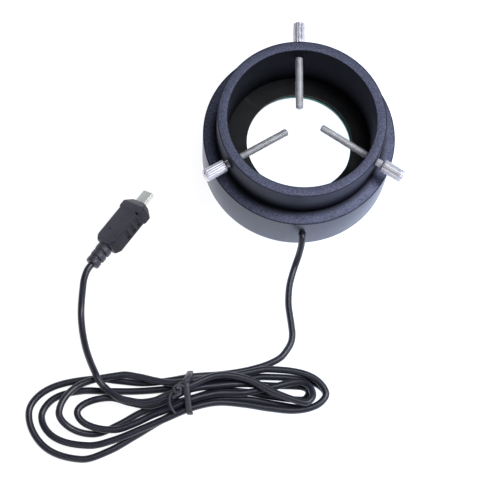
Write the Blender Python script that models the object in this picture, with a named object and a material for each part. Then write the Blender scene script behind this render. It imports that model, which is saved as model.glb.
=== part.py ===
"""Ring light for a stereo microscope.

A turned flange and collar slip over the lens barrel and are held by three thumbscrews.
Two rows of light emitting diodes shine down through a clear ring, and one long cord
ends in a small plug. Lengths are metres, +Z is up, and everything is placed from the
ring's own axis before the whole part is moved to stand on the world's origin.
"""

import math
from collections import namedtuple

import bmesh
import bpy
from mathutils import Matrix, Vector

# Fits shared by the whole part
CLEARANCE = 0.0003
OVERRUN = 0.0020

# Housing: a collar with the bore, on a wider and hollow flange
BORE_RADIUS = 0.0378
COLLAR_WALL = 0.0053
COLLAR_HEIGHT = 0.0208
FLANGE_STEP = 0.0069
FLANGE_HEIGHT = 0.0275
FLANGE_WALL = 0.0025
SHOULDER_THICKNESS = 0.0030
SLEEVE_WALL = 0.0045
EDGE_CHAMFER = 0.0003
HOUSING_STEPS = 72

# Front window, and the diodes above it, each row on its locating ring
WINDOW_BOTTOM = 0.0016
WINDOW_THICKNESS = 0.0015
WINDOW_INNER_OVERLAP = 0.0008
DIODE_RADIUS = 0.0025
DIODE_LENGTH = 0.0083
DIODE_DOME = 0.0012
DIODE_DOME_INSET = 0.0011
DIODE_SIDES = 6
OUTER_ROW_INSET = 0.0031
OUTER_ROW_COUNT = 32
OUTER_RING_OFFSET = 0.0012
ROW_STEP = 0.0062
INNER_ROW_COUNT = 24
INNER_RING_OFFSET = -0.0022
ROW_RING_WIDTH = 0.0013
ROW_RING_THICKNESS = 0.0008
ROW_RING_DROP = 0.0040
ROW_RING_STEPS = 48

# Circuit board, and the black floor ring over it with its opening slightly off centre
BOARD_THICKNESS = 0.0016
BOARD_INNER_MARGIN = 0.0100
BOARD_NOTCH_WIDTH = 0.0064
BOARD_NOTCH_SETBACK = 0.0007
FLOOR_THICKNESS = 0.0020
FLOOR_OPENING_OVERHANG = 0.0004
FLOOR_OPENING_SHIFT = 0.0013
FLOOR_OPENING_AZIMUTH = 42.0

# Spacers between housing, board and window, and the screws that hold the window
SPACER_COUNT = 4
SPACER_CORNER_RADIUS = 0.0023
SPACER_STUD_RADIUS = 0.0010
SPACER_STUD_GRIP = 0.0040
SPACER_BORE_DEPTH = 0.0041
WINDOW_SCREW_HEAD_RADIUS = 0.0019
WINDOW_SCREW_HEAD_HEIGHT = 0.0012
WINDOW_SCREW_GRIP = 0.0036
WINDOW_SCREW_SLOT_WIDTH = 0.0006
WINDOW_SCREW_SLOT_DEPTH = 0.0005
SMALL_SCREW_STEPS = 12

# Inner shade
SHADE_THICKNESS = 0.0005
SHADE_NECK = 0.0008
SHADE_SETBACK = 0.0026
SHADE_FLANGE_WIDTH = 0.0030
SHADE_STEPS = 60

# Resistors on the board
RESISTOR_RADIUS = 0.00115
RESISTOR_LENGTH = 0.0063
RESISTOR_AZIMUTHS = (60.0, 120.0, 240.0, 300.0)

# Cord, and what it meets inside the flange
CORD_DIAMETER = 0.0035
CORD_EXIT_AZIMUTH = -81.5
JACKET_LENGTH = 0.0056
JACKET_PROUD = 0.0002
CORD_STOP_THICKNESS = 0.00045
CORD_STOP_WIDTH = 0.0018
CORD_STOP_HEAD_WIDTH = 0.0026
CORD_STOP_HEAD_HEIGHT = 0.0016
WIRE_RADIUS = 0.00065
# Red wire's route: inset from the flange's outside, sideways step, and rise over the
# cord's middle. The black one mirrors it.
WIRE_ROUTE = (
    (0.0063, 0.0009, 0.0006),
    (0.0065, 0.0018, 0.0023),
    (0.0060, 0.0042, 0.0033),
    (0.0053, 0.0064, 0.0022),
    (0.0052, 0.0070, 0.0009),
)
WIRE_START_OFFSET = 0.0008
WIRE_STRAIGHT = 0.0004

# Thumbscrews: azimuth of the hole, azimuth of the screw's axis, tip's distance from the
# ring's axis
Thumbscrew = namedtuple("Thumbscrew", "name hole_azimuth axis_azimuth tip_distance")
THUMBSCREWS = (
    Thumbscrew("back", 96.8, 95.9, 0.00936),
    Thumbscrew("left", 216.9, 217.5, 0.00809),
    Thumbscrew("right", 339.4, 333.0, 0.00967),
)
THUMBSCREW_DROP = 0.0093
STUD_RADIUS = 0.00195
STUD_SHORTFALL = 0.0064
STUD_TIP_CHAMFER = 0.0006
STUD_STEPS = 16
HEAD_RADIUS = 0.00325
HEAD_LENGTH = 0.0122
HEAD_FLUTE_DEPTH = 0.00030
HEAD_FLUTES = 12
HEAD_CHAMFER = 0.0006
HEAD_SOCKET_DEPTH = 0.0060
HEAD_SLOT_WIDTH = 0.0010
HEAD_SLOT_DEPTH = 0.0012

# Routes of the cord's two free stretches, seen from where the cord leaves the flange
LEAD_ROUTE = (
    (0.0003, -0.0032, 0.0127),
    (0.0003, -0.0054, 0.0100),
    (-0.0003, -0.0091, 0.0056),
    (-0.0014, -0.0136, 0.0029),
    (-0.0025, -0.0190, 0.0019),
    (-0.0032, -0.0244, 0.0018),
    (-0.0032, -0.0298, 0.0018),
    (-0.0027, -0.0352, 0.0018),
    (-0.0015, -0.0405, 0.0018),
    (-0.0002, -0.0457, 0.0018),
    (0.0008, -0.0508, 0.0018),
    (0.0006, -0.0550, 0.0018),
    (-0.0011, -0.0594, 0.0018),
    (-0.0040, -0.0637, 0.0018),
    (-0.0096, -0.0678, 0.0018),
    (-0.0159, -0.0708, 0.0018),
    (-0.0233, -0.0734, 0.0018),
    (-0.0333, -0.0762, 0.0022),
)
TAIL_ROUTE = (
    (-0.0589, -0.0925, 0.0108),
    (-0.0641, -0.0954, 0.0106),
    (-0.0708, -0.0972, 0.0103),
    (-0.0766, -0.0970, 0.0101),
    (-0.0819, -0.0961, 0.0101),
    (-0.0899, -0.0914, 0.0095),
    (-0.0934, -0.0881, 0.0106),
    (-0.0952, -0.0851, 0.0102),
    (-0.0986, -0.0792, 0.0074),
    (-0.1020, -0.0723, 0.0046),
    (-0.1046, -0.0655, 0.0026),
    (-0.1066, -0.0588, 0.0018),
    (-0.1079, -0.0523, 0.0018),
    (-0.1084, -0.0464, 0.0034),
    (-0.1085, -0.0411, 0.0056),
    (-0.1084, -0.0362, 0.0076),
)
CORD_STEP = 0.0070
LEAD_STRAIGHT = 0.0012
CURVE_SAMPLES = 12

# Hank: four turns drawn in at a waist, placed and turned in plan
HANK_WAIST = (-0.0474, -0.0886)
HANK_AZIMUTH = 8.5
# Each pass of the cord at the waist: distance across, height, and slope across to along
Pass = namedtuple("Pass", "across height slope")
HANK_PASSES = (
    Pass(0.0090, 0.0018, -0.03),
    Pass(-0.0071, 0.0018, 0.30),
    Pass(0.0043, 0.0018, -0.03),
    Pass(-0.0083, 0.0058, 0.42),
    Pass(0.0063, 0.0058, 0.30),
    Pass(-0.0029, 0.0018, 0.45),
    Pass(0.0018, 0.0058, 0.17),
    Pass(-0.0037, 0.0058, 0.62),
    Pass(0.0033, 0.0098, 0.48),
)
# Each half turn between two passes. Its tip reaches along the hank, its outgoing and
# returning runs are widest at a length and a distance across, and a run may sway.
Lobe = namedtuple(
    "Lobe",
    "reach tip_across tip_height out_length out_across out_sway"
    " back_length back_across back_height back_sway climb_share",
)
HANK_LOBES = (
    Lobe(-0.0802, -0.0108, 0.0018, -0.0480, 0.0114, -0.0014, -0.0555, -0.0307, 0.0018, 0.0007, 0.46),
    Lobe(0.0684, -0.0018, 0.0019, 0.0556, -0.0081, 0.0009, 0.0417, 0.0083, 0.0018, -0.0002, 0.25),
    Lobe(-0.0736, -0.0100, 0.0018, -0.0558, 0.0037, -0.0012, -0.0511, -0.0247, 0.0044, 0.0013, 0.74),
    Lobe(0.0678, -0.0025, 0.0061, 0.0542, -0.0100, 0.0001, 0.0401, 0.0112, 0.0055, -0.0022, 0.73),
    Lobe(-0.0643, -0.0080, 0.0084, -0.0352, 0.0112, 0.0005, -0.0492, -0.0191, 0.0018, 0.0055, 0.54),
    Lobe(0.0592, -0.0011, 0.0032, 0.0552, -0.0040, 0.0009, 0.0496, 0.0029, 0.0017, 0.0005, 0.61),
    Lobe(-0.0562, -0.0083, 0.0063, -0.0416, -0.0010, -0.0059, -0.0378, -0.0165, 0.0059, 0.0026, 0.69),
    Lobe(0.0615, -0.0027, 0.0087, 0.0520, 0.0040, -0.0047, 0.0550, -0.0082, 0.0101, 0.0044, 0.20),
)
RUN_POINTS = 4
BEND_POINTS = 2
CLIMB_SPAN_SHARE = 0.5
WAIST_LIFT = 0.0014
WAIST_LIFT_RUN = 0.0260
LEAST_GAP = 0.0004
GAP_SAMPLES = 4

# Tie round the waist, with its twisted ends laid over to one side
TIE_WIDTH = 0.0022
TIE_THICKNESS = 0.0008
TIE_SIDES = 32
TIE_END_RADIUS = 0.0007
TIE_END_ROUTE = (
    (-0.0004, 0.0024, 0.0137),
    (-0.0040, 0.0012, 0.0139),
    (-0.0078, -0.0010, 0.0139),
    (-0.0112, -0.0040, 0.0140),
    (-0.0118, -0.0075, 0.0124),
    (-0.0098, -0.0108, 0.0104),
    (-0.0070, -0.0124, 0.0094),
)
TIE_KNOT_PLACE = (-0.0072, -0.0008, 0.0139)
TIE_KNOT_RADIUS = 0.0015

# Plug, placed by the middle of its cord end and turned about its own axis
PLUG_PLACE = (-0.1055, -0.0280, 0.0086)
PLUG_AZIMUTH = 60.9
PLUG_PITCH = -1.8
PLUG_ROLL = 30.0
BOOT_SEGMENTS = 3
BOOT_SEGMENT_LENGTH = 0.0032
BOOT_GROOVE_LENGTH = 0.0008
BOOT_GROOVE_DEPTH = 0.0007
BOOT_END_RADIUS = 0.0038
BOOT_ROOT_RADIUS = 0.0042
BODY_LENGTH = 0.0217
BODY_WIDTH = 0.0134
BODY_HEIGHT = 0.0098
BODY_CORNER = 0.0016
GRIP_COLLAR_LENGTH = 0.0081
GRIP_COLLAR_WIDTH = 0.0152
GRIP_COLLAR_HEIGHT = 0.0102
GRIP_COLLAR_CORNER = 0.0016
GRIP_NOSE_LENGTH = 0.0035
GRIP_NOSE_WIDTH = 0.0090
GRIP_NOSE_HEIGHT = 0.0056
PLUG_EDGE = 0.0007
CORNER_POINTS = 5
GRIP_DENTS = 3
GRIP_DENT_STEP = 0.0042
GRIP_DENT_SETBACK = 0.0065
GRIP_DENT_LENGTH = 0.0018
GRIP_DENT_DEPTH = 0.0005
SHELL_WIDTH = 0.0068
SHELL_FOOT_WIDTH = 0.0054
SHELL_HEIGHT = 0.0034
SHELL_SHOULDER = 0.0016
SHELL_WALL = 0.0004
SHELL_LENGTH = 0.0074
SHELL_ROOT = 0.0020
TONGUE_WIDTH = 0.0044
TONGUE_THICKNESS = 0.0010
TONGUE_SETBACK = 0.0012


def clear_scene():
    for item in list(bpy.data.objects):
        bpy.data.objects.remove(item)


def material(name, color, metallic, roughness):
    surface = bpy.data.materials.new(name)
    surface.use_nodes = True
    shader = surface.node_tree.nodes["Principled BSDF"]
    shader.inputs["Base Color"].default_value = (*color, 1.0)
    shader.inputs["Metallic"].default_value = metallic
    shader.inputs["Roughness"].default_value = roughness
    return surface


def make_materials():
    clear = material("clear_acrylic", (0.80, 0.86, 0.88), 0.0, 0.08)
    clear.node_tree.nodes["Principled BSDF"].inputs["Transmission Weight"].default_value = 0.9
    return {
        "anodised": material("black_anodised_aluminium", (0.055, 0.056, 0.066), 0.85, 0.38),
        "moulded": material("black_moulded_plastic", (0.012, 0.012, 0.014), 0.0, 0.70),
        "board": material("green_circuit_board", (0.010, 0.110, 0.085), 0.0, 0.45),
        "diode": material("water_clear_diode", (0.82, 0.84, 0.80), 0.0, 0.18),
        "resistor": material("resistor_lacquer", (0.36, 0.52, 0.62), 0.0, 0.50),
        "brass": material("nickel_plated_brass", (0.62, 0.58, 0.48), 1.0, 0.30),
        "zinc": material("zinc_plated_steel", (0.56, 0.57, 0.58), 1.0, 0.35),
        "nickel": material("bright_nickel", (0.70, 0.70, 0.70), 1.0, 0.22),
        "clear": clear,
        "nylon": material("natural_nylon", (0.78, 0.76, 0.68), 0.0, 0.50),
        "red": material("red_insulation", (0.55, 0.020, 0.015), 0.0, 0.45),
        "black": material("black_insulation", (0.015, 0.015, 0.015), 0.0, 0.45),
        "jacket": material("dark_grey_cord", (0.030, 0.031, 0.045), 0.0, 0.45),
        "plug": material("dark_grey_plug", (0.045, 0.046, 0.055), 0.0, 0.42),
        "shell": material("plated_plug_shell", (0.60, 0.61, 0.62), 1.0, 0.28),
        "tie": material("grey_tie", (0.080, 0.080, 0.085), 0.0, 0.50),
    }


def finish_mesh(name, bm, surface, parent, matrix=None):
    """Turn a bmesh into a shaded object that hangs from its parent."""
    bmesh.ops.recalc_face_normals(bm, faces=bm.faces[:])
    mesh = bpy.data.meshes.new(name)
    bm.to_mesh(mesh)
    bm.free()
    return place(name, mesh, surface, parent, matrix)


def place(name, mesh, surface, parent, matrix=None):
    if mesh.materials:
        mesh.materials.clear()
    mesh.materials.append(surface)
    mesh.shade_smooth()
    mesh.set_sharp_from_angle(angle=math.radians(30.0))
    item = bpy.data.objects.new(name, mesh)
    bpy.context.scene.collection.objects.link(item)
    item.parent = parent
    if matrix is not None:
        item.matrix_local = matrix
    return item


def guide(name, bm, parent, matrix=None):
    """A shape that only cuts or joins another one."""
    item = finish_mesh(name, bm, bpy.data.materials["black_insulation"], parent, matrix)
    item.hide_render = True
    item.display_type = "WIRE"
    return item


def boolean(item, tool, operation):
    change = item.modifiers.new(operation.lower(), "BOOLEAN")
    change.operation = operation
    change.solver = "EXACT"
    change.object = tool


def turned_bmesh(profile, steps):
    """Spin a closed outline of (radius, height) points round the Z axis."""
    bm = bmesh.new()
    rim = [bm.verts.new((radius, 0.0, height)) for radius, height in profile]
    edges = [bm.edges.new((rim[i - 1], rim[i])) for i in range(len(rim))]
    bmesh.ops.spin(
        bm,
        geom=rim + edges,
        cent=(0.0, 0.0, 0.0),
        axis=(0.0, 0.0, 1.0),
        angle=2.0 * math.pi,
        steps=steps,
        use_merge=True,
    )
    return bm


def turned_solid_bmesh(profile, steps):
    """Spin an open outline whose two ends lie on the axis, and close both ends."""
    bm = turned_wall_bmesh(profile[1:-1], steps)
    ends = [edge for edge in bm.edges if edge.is_boundary]
    bmesh.ops.holes_fill(bm, edges=ends, sides=0)
    return bm


def turned_wall_bmesh(profile, steps):
    bm = bmesh.new()
    rim = [bm.verts.new((radius, 0.0, height)) for radius, height in profile]
    edges = [bm.edges.new(pair) for pair in zip(rim, rim[1:])]
    bmesh.ops.spin(
        bm,
        geom=rim + edges,
        cent=(0.0, 0.0, 0.0),
        axis=(0.0, 0.0, 1.0),
        angle=2.0 * math.pi,
        steps=steps,
        use_merge=True,
    )
    return bm


def add_drum(bm, radius, start, end, sides, end_radius=None):
    """Add a closed cylinder or cone between two points."""
    start = Vector(start)
    end = Vector(end)
    length = (end - start).length
    turn = (end - start).to_track_quat("Z", "Y").to_matrix().to_4x4()
    bmesh.ops.create_cone(
        bm,
        cap_ends=True,
        segments=sides,
        radius1=radius,
        radius2=radius if end_radius is None else end_radius,
        depth=length,
        matrix=Matrix.Translation((start + end) / 2.0) @ turn,
    )


def add_box(bm, size, centre, azimuth=0.0):
    matrix = (
        Matrix.Translation(centre)
        @ Matrix.Rotation(math.radians(azimuth), 4, "Z")
        @ Matrix.Diagonal((*size, 1.0))
    )
    bmesh.ops.create_cube(bm, size=1.0, matrix=matrix)


def polar(radius, azimuth, height=0.0):
    angle = math.radians(azimuth)
    return Vector((radius * math.cos(angle), radius * math.sin(angle), height))


def sideways(azimuth):
    """Unit vector across a radius."""
    return polar(1.0, azimuth + 90.0)


def collar_radius():
    return BORE_RADIUS + COLLAR_WALL


def sleeve_radius():
    return BORE_RADIUS + SLEEVE_WALL


def flange_radius():
    return collar_radius() + FLANGE_STEP


def chamber_radius():
    return flange_radius() - FLANGE_WALL


def housing_height():
    return FLANGE_HEIGHT + COLLAR_HEIGHT


def window_top():
    return WINDOW_BOTTOM + WINDOW_THICKNESS


def diode_top():
    return window_top() + CLEARANCE + DIODE_LENGTH


def board_bottom():
    return diode_top() + CLEARANCE


def board_top():
    return board_bottom() + BOARD_THICKNESS


def floor_bottom():
    return board_top() + CLEARANCE


def floor_top():
    return floor_bottom() + FLOOR_THICKNESS


def sleeve_bottom():
    return floor_top() + CLEARANCE


def outer_row_radius():
    return chamber_radius() - OUTER_ROW_INSET


def inner_row_radius():
    return outer_row_radius() - ROW_STEP


def board_inner_radius():
    return inner_row_radius() - BOARD_INNER_MARGIN


def window_inner_radius():
    return inner_row_radius() - DIODE_RADIUS + WINDOW_INNER_OVERLAP


def spacer_circle_radius():
    return BORE_RADIUS + SLEEVE_WALL / 2.0


def spacer_azimuths():
    return [CORD_EXIT_AZIMUTH + (i + 0.5) * 360.0 / SPACER_COUNT for i in range(SPACER_COUNT)]


def spacer_stud_top():
    return sleeve_bottom() + SPACER_STUD_GRIP


def small_hole_radius():
    return SPACER_STUD_RADIUS + CLEARANCE


def cord_exit_height():
    """The cord lies on the diodes' level and passes through the board's notch."""
    return board_bottom() + CORD_DIAMETER / 2.0


def screw_insertion(screw):
    """How far the stud's tip lies past the collar's outer wall."""
    return collar_radius() - screw.tip_distance


def stud_bare_length():
    return collar_radius() - STUD_SHORTFALL


def small_holes(name, bottom, top, parent):
    """Cutter for the four holes that the spacers' studs and screws pass."""
    bm = bmesh.new()
    for azimuth in spacer_azimuths():
        add_drum(
            bm,
            small_hole_radius(),
            polar(spacer_circle_radius(), azimuth, bottom),
            polar(spacer_circle_radius(), azimuth, top),
            SMALL_SCREW_STEPS,
        )
    return guide(name, bm, parent)


def screw_matrix(screw):
    """Frame on a thumbscrew's axis at the collar's wall, +Z pointing outwards."""
    direction = polar(1.0, screw.axis_azimuth)
    height = housing_height() - THUMBSCREW_DROP
    place_on_wall = polar(collar_radius(), screw.hole_azimuth, height)
    turn = direction.to_track_quat("Z", "Y").to_matrix().to_4x4()
    return Matrix.Translation(place_on_wall) @ turn


def housing_profile():
    chamfer = EDGE_CHAMFER
    ceiling = FLANGE_HEIGHT - SHOULDER_THICKNESS
    top = housing_height()
    return (
        (flange_radius() - chamfer, 0.0),
        (flange_radius(), chamfer),
        (flange_radius(), FLANGE_HEIGHT - chamfer),
        (flange_radius() - chamfer, FLANGE_HEIGHT),
        (collar_radius(), FLANGE_HEIGHT),
        (collar_radius(), top - chamfer),
        (collar_radius() - chamfer, top),
        (BORE_RADIUS + chamfer, top),
        (BORE_RADIUS, top - chamfer),
        (BORE_RADIUS, sleeve_bottom()),
        (sleeve_radius(), sleeve_bottom()),
        (sleeve_radius(), ceiling),
        (chamber_radius(), ceiling),
        (chamber_radius(), 0.0),
    )


def make_housing(root, surfaces):
    housing = finish_mesh(
        "housing", turned_bmesh(housing_profile(), HOUSING_STEPS), surfaces["anodised"], root
    )
    holes = bmesh.new()
    for screw in THUMBSCREWS:
        frame = screw_matrix(screw)
        inner = frame @ Vector((0.0, 0.0, -COLLAR_WALL - 2.0 * OVERRUN))
        outer = frame @ Vector((0.0, 0.0, 2.0 * OVERRUN))
        add_drum(holes, STUD_RADIUS + CLEARANCE, inner, outer, STUD_STEPS)
    add_drum(
        holes,
        CORD_DIAMETER / 2.0 + CLEARANCE,
        polar(chamber_radius() - OVERRUN, CORD_EXIT_AZIMUTH, cord_exit_height()),
        polar(flange_radius() + OVERRUN, CORD_EXIT_AZIMUTH, cord_exit_height()),
        STUD_STEPS,
    )
    boolean(housing, guide("housing_holes", holes, root), "DIFFERENCE")
    blind_top = spacer_stud_top() + CLEARANCE
    blind = small_holes("housing_blind_holes", sleeve_bottom() - OVERRUN, blind_top, root)
    boolean(housing, blind, "DIFFERENCE")


def make_floor_ring(root, surfaces):
    bottom = floor_bottom()
    top = floor_top()
    radius = sleeve_radius() - CLEARANCE
    opening_radius = board_inner_radius() - FLOOR_OPENING_OVERHANG
    blank_radius = opening_radius - FLOOR_OPENING_SHIFT - OVERRUN
    profile = (
        (radius, bottom),
        (radius, top),
        (blank_radius, top),
        (blank_radius, bottom),
    )
    ring = finish_mesh("bore_floor", turned_bmesh(profile, HOUSING_STEPS), surfaces["moulded"], root)
    shift = polar(FLOOR_OPENING_SHIFT, FLOOR_OPENING_AZIMUTH)
    opening = bmesh.new()
    add_drum(
        opening,
        opening_radius,
        shift + Vector((0.0, 0.0, bottom - OVERRUN)),
        shift + Vector((0.0, 0.0, top + OVERRUN)),
        HOUSING_STEPS,
    )
    boolean(ring, guide("floor_opening", opening, root), "DIFFERENCE")
    holes = small_holes("floor_holes", bottom - OVERRUN, top + OVERRUN, root)
    boolean(ring, holes, "DIFFERENCE")


def make_board(root, surfaces):
    bottom = board_bottom()
    top = board_top()
    radius = chamber_radius() - CLEARANCE
    profile = (
        (radius, bottom),
        (radius, top),
        (board_inner_radius(), top),
        (board_inner_radius(), bottom),
    )
    board = finish_mesh("led_board", turned_bmesh(profile, HOUSING_STEPS), surfaces["board"], root)
    notch = bmesh.new()
    notch_radius = sleeve_radius() + BOARD_NOTCH_SETBACK
    notch_length = radius + OVERRUN - notch_radius
    add_box(
        notch,
        (notch_length, BOARD_NOTCH_WIDTH, BOARD_THICKNESS + 2.0 * OVERRUN),
        polar(notch_radius + notch_length / 2.0, CORD_EXIT_AZIMUTH, (bottom + top) / 2.0),
        CORD_EXIT_AZIMUTH,
    )
    boolean(board, guide("board_notch", notch, root), "DIFFERENCE")
    holes = small_holes("board_holes", bottom - OVERRUN, top + OVERRUN, root)
    boolean(board, holes, "DIFFERENCE")


def make_diode_row(name, row_radius, count, ring_offset, root, surfaces):
    """One row of diodes, joined by the thin ring that spaces them."""
    top = diode_top()
    bottom = top - DIODE_LENGTH
    ring_bottom = board_bottom() - ROW_RING_DROP
    ring_top = ring_bottom + ROW_RING_THICKNESS
    ring_radius = row_radius + ring_offset
    profile = (
        (ring_radius + ROW_RING_WIDTH, ring_bottom),
        (ring_radius + ROW_RING_WIDTH, ring_top),
        (ring_radius, ring_top),
        (ring_radius, ring_bottom),
    )
    ring = finish_mesh(name, turned_bmesh(profile, ROW_RING_STEPS), surfaces["diode"], root)
    outline = (
        (0.0, bottom),
        (DIODE_RADIUS - DIODE_DOME_INSET, bottom),
        (DIODE_RADIUS, bottom + DIODE_DOME),
        (DIODE_RADIUS, top),
        (0.0, top),
    )
    diode = bpy.data.meshes.new(name + "_shape")
    single = turned_solid_bmesh(outline, DIODE_SIDES)
    single.to_mesh(diode)
    single.free()
    diodes = bmesh.new()
    step = 360.0 / count
    for i in range(count):
        azimuth = spacer_azimuths()[0] + (i + 0.5) * step
        known = len(diodes.verts)
        diodes.from_mesh(diode)
        diodes.verts.ensure_lookup_table()
        matrix = Matrix.Translation(polar(row_radius, azimuth)) @ Matrix.Rotation(
            math.radians(azimuth), 4, "Z"
        )
        bmesh.ops.transform(diodes, matrix=matrix, verts=diodes.verts[known:])
    boolean(ring, guide(name + "_diodes", diodes, root), "UNION")


def make_spacers(root, surfaces):
    """Hexagonal spacers, each with a stud above and a threaded bore below."""
    foot = window_top() + CLEARANCE
    top = diode_top()
    bore_top = foot + SPACER_BORE_DEPTH
    for i, azimuth in enumerate(spacer_azimuths()):
        place_in_plan = polar(spacer_circle_radius(), azimuth)
        matrix = Matrix.Translation(place_in_plan)
        prism = bmesh.new()
        add_drum(prism, SPACER_CORNER_RADIUS, (0.0, 0.0, foot), (0.0, 0.0, top), 6)
        spacer = finish_mesh(f"board_spacer_{i + 1}", prism, surfaces["brass"], root, matrix)
        stud = bmesh.new()
        stud_foot = bore_top + OVERRUN
        add_drum(
            stud,
            SPACER_STUD_RADIUS,
            (0.0, 0.0, stud_foot),
            (0.0, 0.0, spacer_stud_top()),
            SMALL_SCREW_STEPS,
        )
        boolean(spacer, guide(f"spacer_stud_{i + 1}", stud, root, matrix), "UNION")
        bore = bmesh.new()
        add_drum(
            bore,
            small_hole_radius(),
            (0.0, 0.0, foot - OVERRUN),
            (0.0, 0.0, bore_top),
            SMALL_SCREW_STEPS,
        )
        boolean(spacer, guide(f"spacer_bore_{i + 1}", bore, root, matrix), "DIFFERENCE")


def make_window_screws(root, surfaces):
    head_top = WINDOW_BOTTOM - CLEARANCE
    head_bottom = head_top - WINDOW_SCREW_HEAD_HEIGHT
    shank_top = window_top() + CLEARANCE + WINDOW_SCREW_GRIP
    outline = (
        (0.0, head_bottom),
        (WINDOW_SCREW_HEAD_RADIUS, head_bottom),
        (WINDOW_SCREW_HEAD_RADIUS, head_top),
        (SPACER_STUD_RADIUS, head_top),
        (SPACER_STUD_RADIUS, shank_top),
        (0.0, shank_top),
    )
    for i, azimuth in enumerate(spacer_azimuths()):
        matrix = Matrix.Translation(polar(spacer_circle_radius(), azimuth))
        screw = finish_mesh(
            f"window_screw_{i + 1}",
            turned_solid_bmesh(outline, SMALL_SCREW_STEPS),
            surfaces["zinc"],
            root,
            matrix,
        )
        slot = bmesh.new()
        depth = WINDOW_SCREW_SLOT_DEPTH + OVERRUN
        add_box(
            slot,
            (2.0 * (WINDOW_SCREW_HEAD_RADIUS + OVERRUN), WINDOW_SCREW_SLOT_WIDTH, depth),
            (0.0, 0.0, head_bottom + WINDOW_SCREW_SLOT_DEPTH - depth / 2.0),
        )
        boolean(screw, guide(f"window_screw_slot_{i + 1}", slot, root, matrix), "DIFFERENCE")


def make_window(root, surfaces):
    top = window_top()
    radius = chamber_radius() - CLEARANCE
    profile = (
        (radius, WINDOW_BOTTOM),
        (radius, top),
        (window_inner_radius(), top),
        (window_inner_radius(), WINDOW_BOTTOM),
    )
    window = finish_mesh(
        "front_window", turned_bmesh(profile, HOUSING_STEPS), surfaces["clear"], root
    )
    holes = small_holes("window_holes", WINDOW_BOTTOM - OVERRUN, top + OVERRUN, root)
    boolean(window, holes, "DIFFERENCE")


def make_shade(root, surfaces):
    """Black cone that keeps the diodes' light out of the microscope's view."""
    top = diode_top()
    under = top - SHADE_THICKNESS
    foot_radius = window_inner_radius() - CLEARANCE
    top_radius = board_inner_radius() + SHADE_SETBACK
    profile = (
        (top_radius, top),
        (top_radius + SHADE_FLANGE_WIDTH, top),
        (top_radius + SHADE_FLANGE_WIDTH, under),
        (top_radius + SHADE_NECK, under),
        (foot_radius, WINDOW_BOTTOM),
        (foot_radius - SHADE_THICKNESS, WINDOW_BOTTOM),
    )
    finish_mesh("inner_shade", turned_bmesh(profile, SHADE_STEPS), surfaces["moulded"], root)


def make_resistors(root, surfaces):
    height = board_top() + CLEARANCE + RESISTOR_RADIUS
    circle_radius = (sleeve_radius() + chamber_radius()) / 2.0
    for i, step in enumerate(RESISTOR_AZIMUTHS):
        azimuth = CORD_EXIT_AZIMUTH + step
        middle = polar(circle_radius, azimuth, height)
        along = sideways(azimuth) * RESISTOR_LENGTH / 2.0
        bm = bmesh.new()
        add_drum(bm, RESISTOR_RADIUS, middle - along, middle + along, SMALL_SCREW_STEPS)
        finish_mesh(f"board_resistor_{i + 1}", bm, surfaces["resistor"], root)


def jacket_inner_end():
    return flange_radius() + JACKET_PROUD - JACKET_LENGTH


def make_jacket_end(root, surfaces):
    bm = bmesh.new()
    add_drum(
        bm,
        CORD_DIAMETER / 2.0,
        polar(jacket_inner_end(), CORD_EXIT_AZIMUTH, cord_exit_height()),
        polar(flange_radius() + JACKET_PROUD, CORD_EXIT_AZIMUTH, cord_exit_height()),
        STUD_STEPS,
    )
    finish_mesh("cord_jacket_end", bm, surfaces["jacket"], root)


def make_cord_stop(root, surfaces):
    """Cable tie round the jacket, just inside the flange's wall."""
    inner = CORD_DIAMETER / 2.0 + CLEARANCE
    outer = inner + CORD_STOP_THICKNESS
    outer_end = chamber_radius() - CLEARANCE
    profile = (
        (outer, 0.0),
        (outer, CORD_STOP_WIDTH),
        (inner, CORD_STOP_WIDTH),
        (inner, 0.0),
    )
    inward = -polar(1.0, CORD_EXIT_AZIMUTH)
    matrix = (
        Matrix.Translation(polar(outer_end, CORD_EXIT_AZIMUTH, cord_exit_height()))
        @ inward.to_track_quat("Z", "X").to_matrix().to_4x4()
    )
    ring = finish_mesh("cord_stop", turned_bmesh(profile, STUD_STEPS), surfaces["nylon"], root, matrix)
    head = bmesh.new()
    overlap = CORD_STOP_THICKNESS / 2.0
    head_height = CORD_STOP_HEAD_HEIGHT + overlap
    add_box(
        head,
        (CORD_STOP_WIDTH, CORD_STOP_HEAD_WIDTH, head_height),
        polar(
            outer_end - CORD_STOP_WIDTH / 2.0,
            CORD_EXIT_AZIMUTH,
            cord_exit_height() + outer - overlap + head_height / 2.0,
        ),
        CORD_EXIT_AZIMUTH,
    )
    boolean(ring, guide("cord_stop_head", head, root), "UNION")


def make_screw_stud(screw, root, surfaces):
    """Threaded stud. Its origin is on the axis at the collar's wall."""
    tip = -screw_insertion(screw)
    end = tip + stud_bare_length() + HEAD_SOCKET_DEPTH - CLEARANCE
    outline = (
        (0.0, tip),
        (STUD_RADIUS - STUD_TIP_CHAMFER, tip),
        (STUD_RADIUS, tip + STUD_TIP_CHAMFER),
        (STUD_RADIUS, end),
        (0.0, end),
    )
    return finish_mesh(
        f"screw_stud_{screw.name}",
        turned_solid_bmesh(outline, STUD_STEPS),
        surfaces["nickel"],
        root,
        screw_matrix(screw),
    )


def fluted_bmesh(start, length):
    """Solid with lengthwise flutes and chamfered ends."""
    bm = bmesh.new()
    sides = 2 * HEAD_FLUTES
    levels = (
        (start, HEAD_CHAMFER),
        (start + HEAD_CHAMFER, 0.0),
        (start + length - HEAD_CHAMFER, 0.0),
        (start + length, HEAD_CHAMFER),
    )
    loops = []
    for height, inset in levels:
        loop = []
        for i in range(sides):
            radius = HEAD_RADIUS - inset - (HEAD_FLUTE_DEPTH if i % 2 else 0.0)
            loop.append(bm.verts.new(polar(radius, 360.0 * i / sides, height)))
        loops.append(loop)
    bridge(bm, loops)
    return bm


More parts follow.
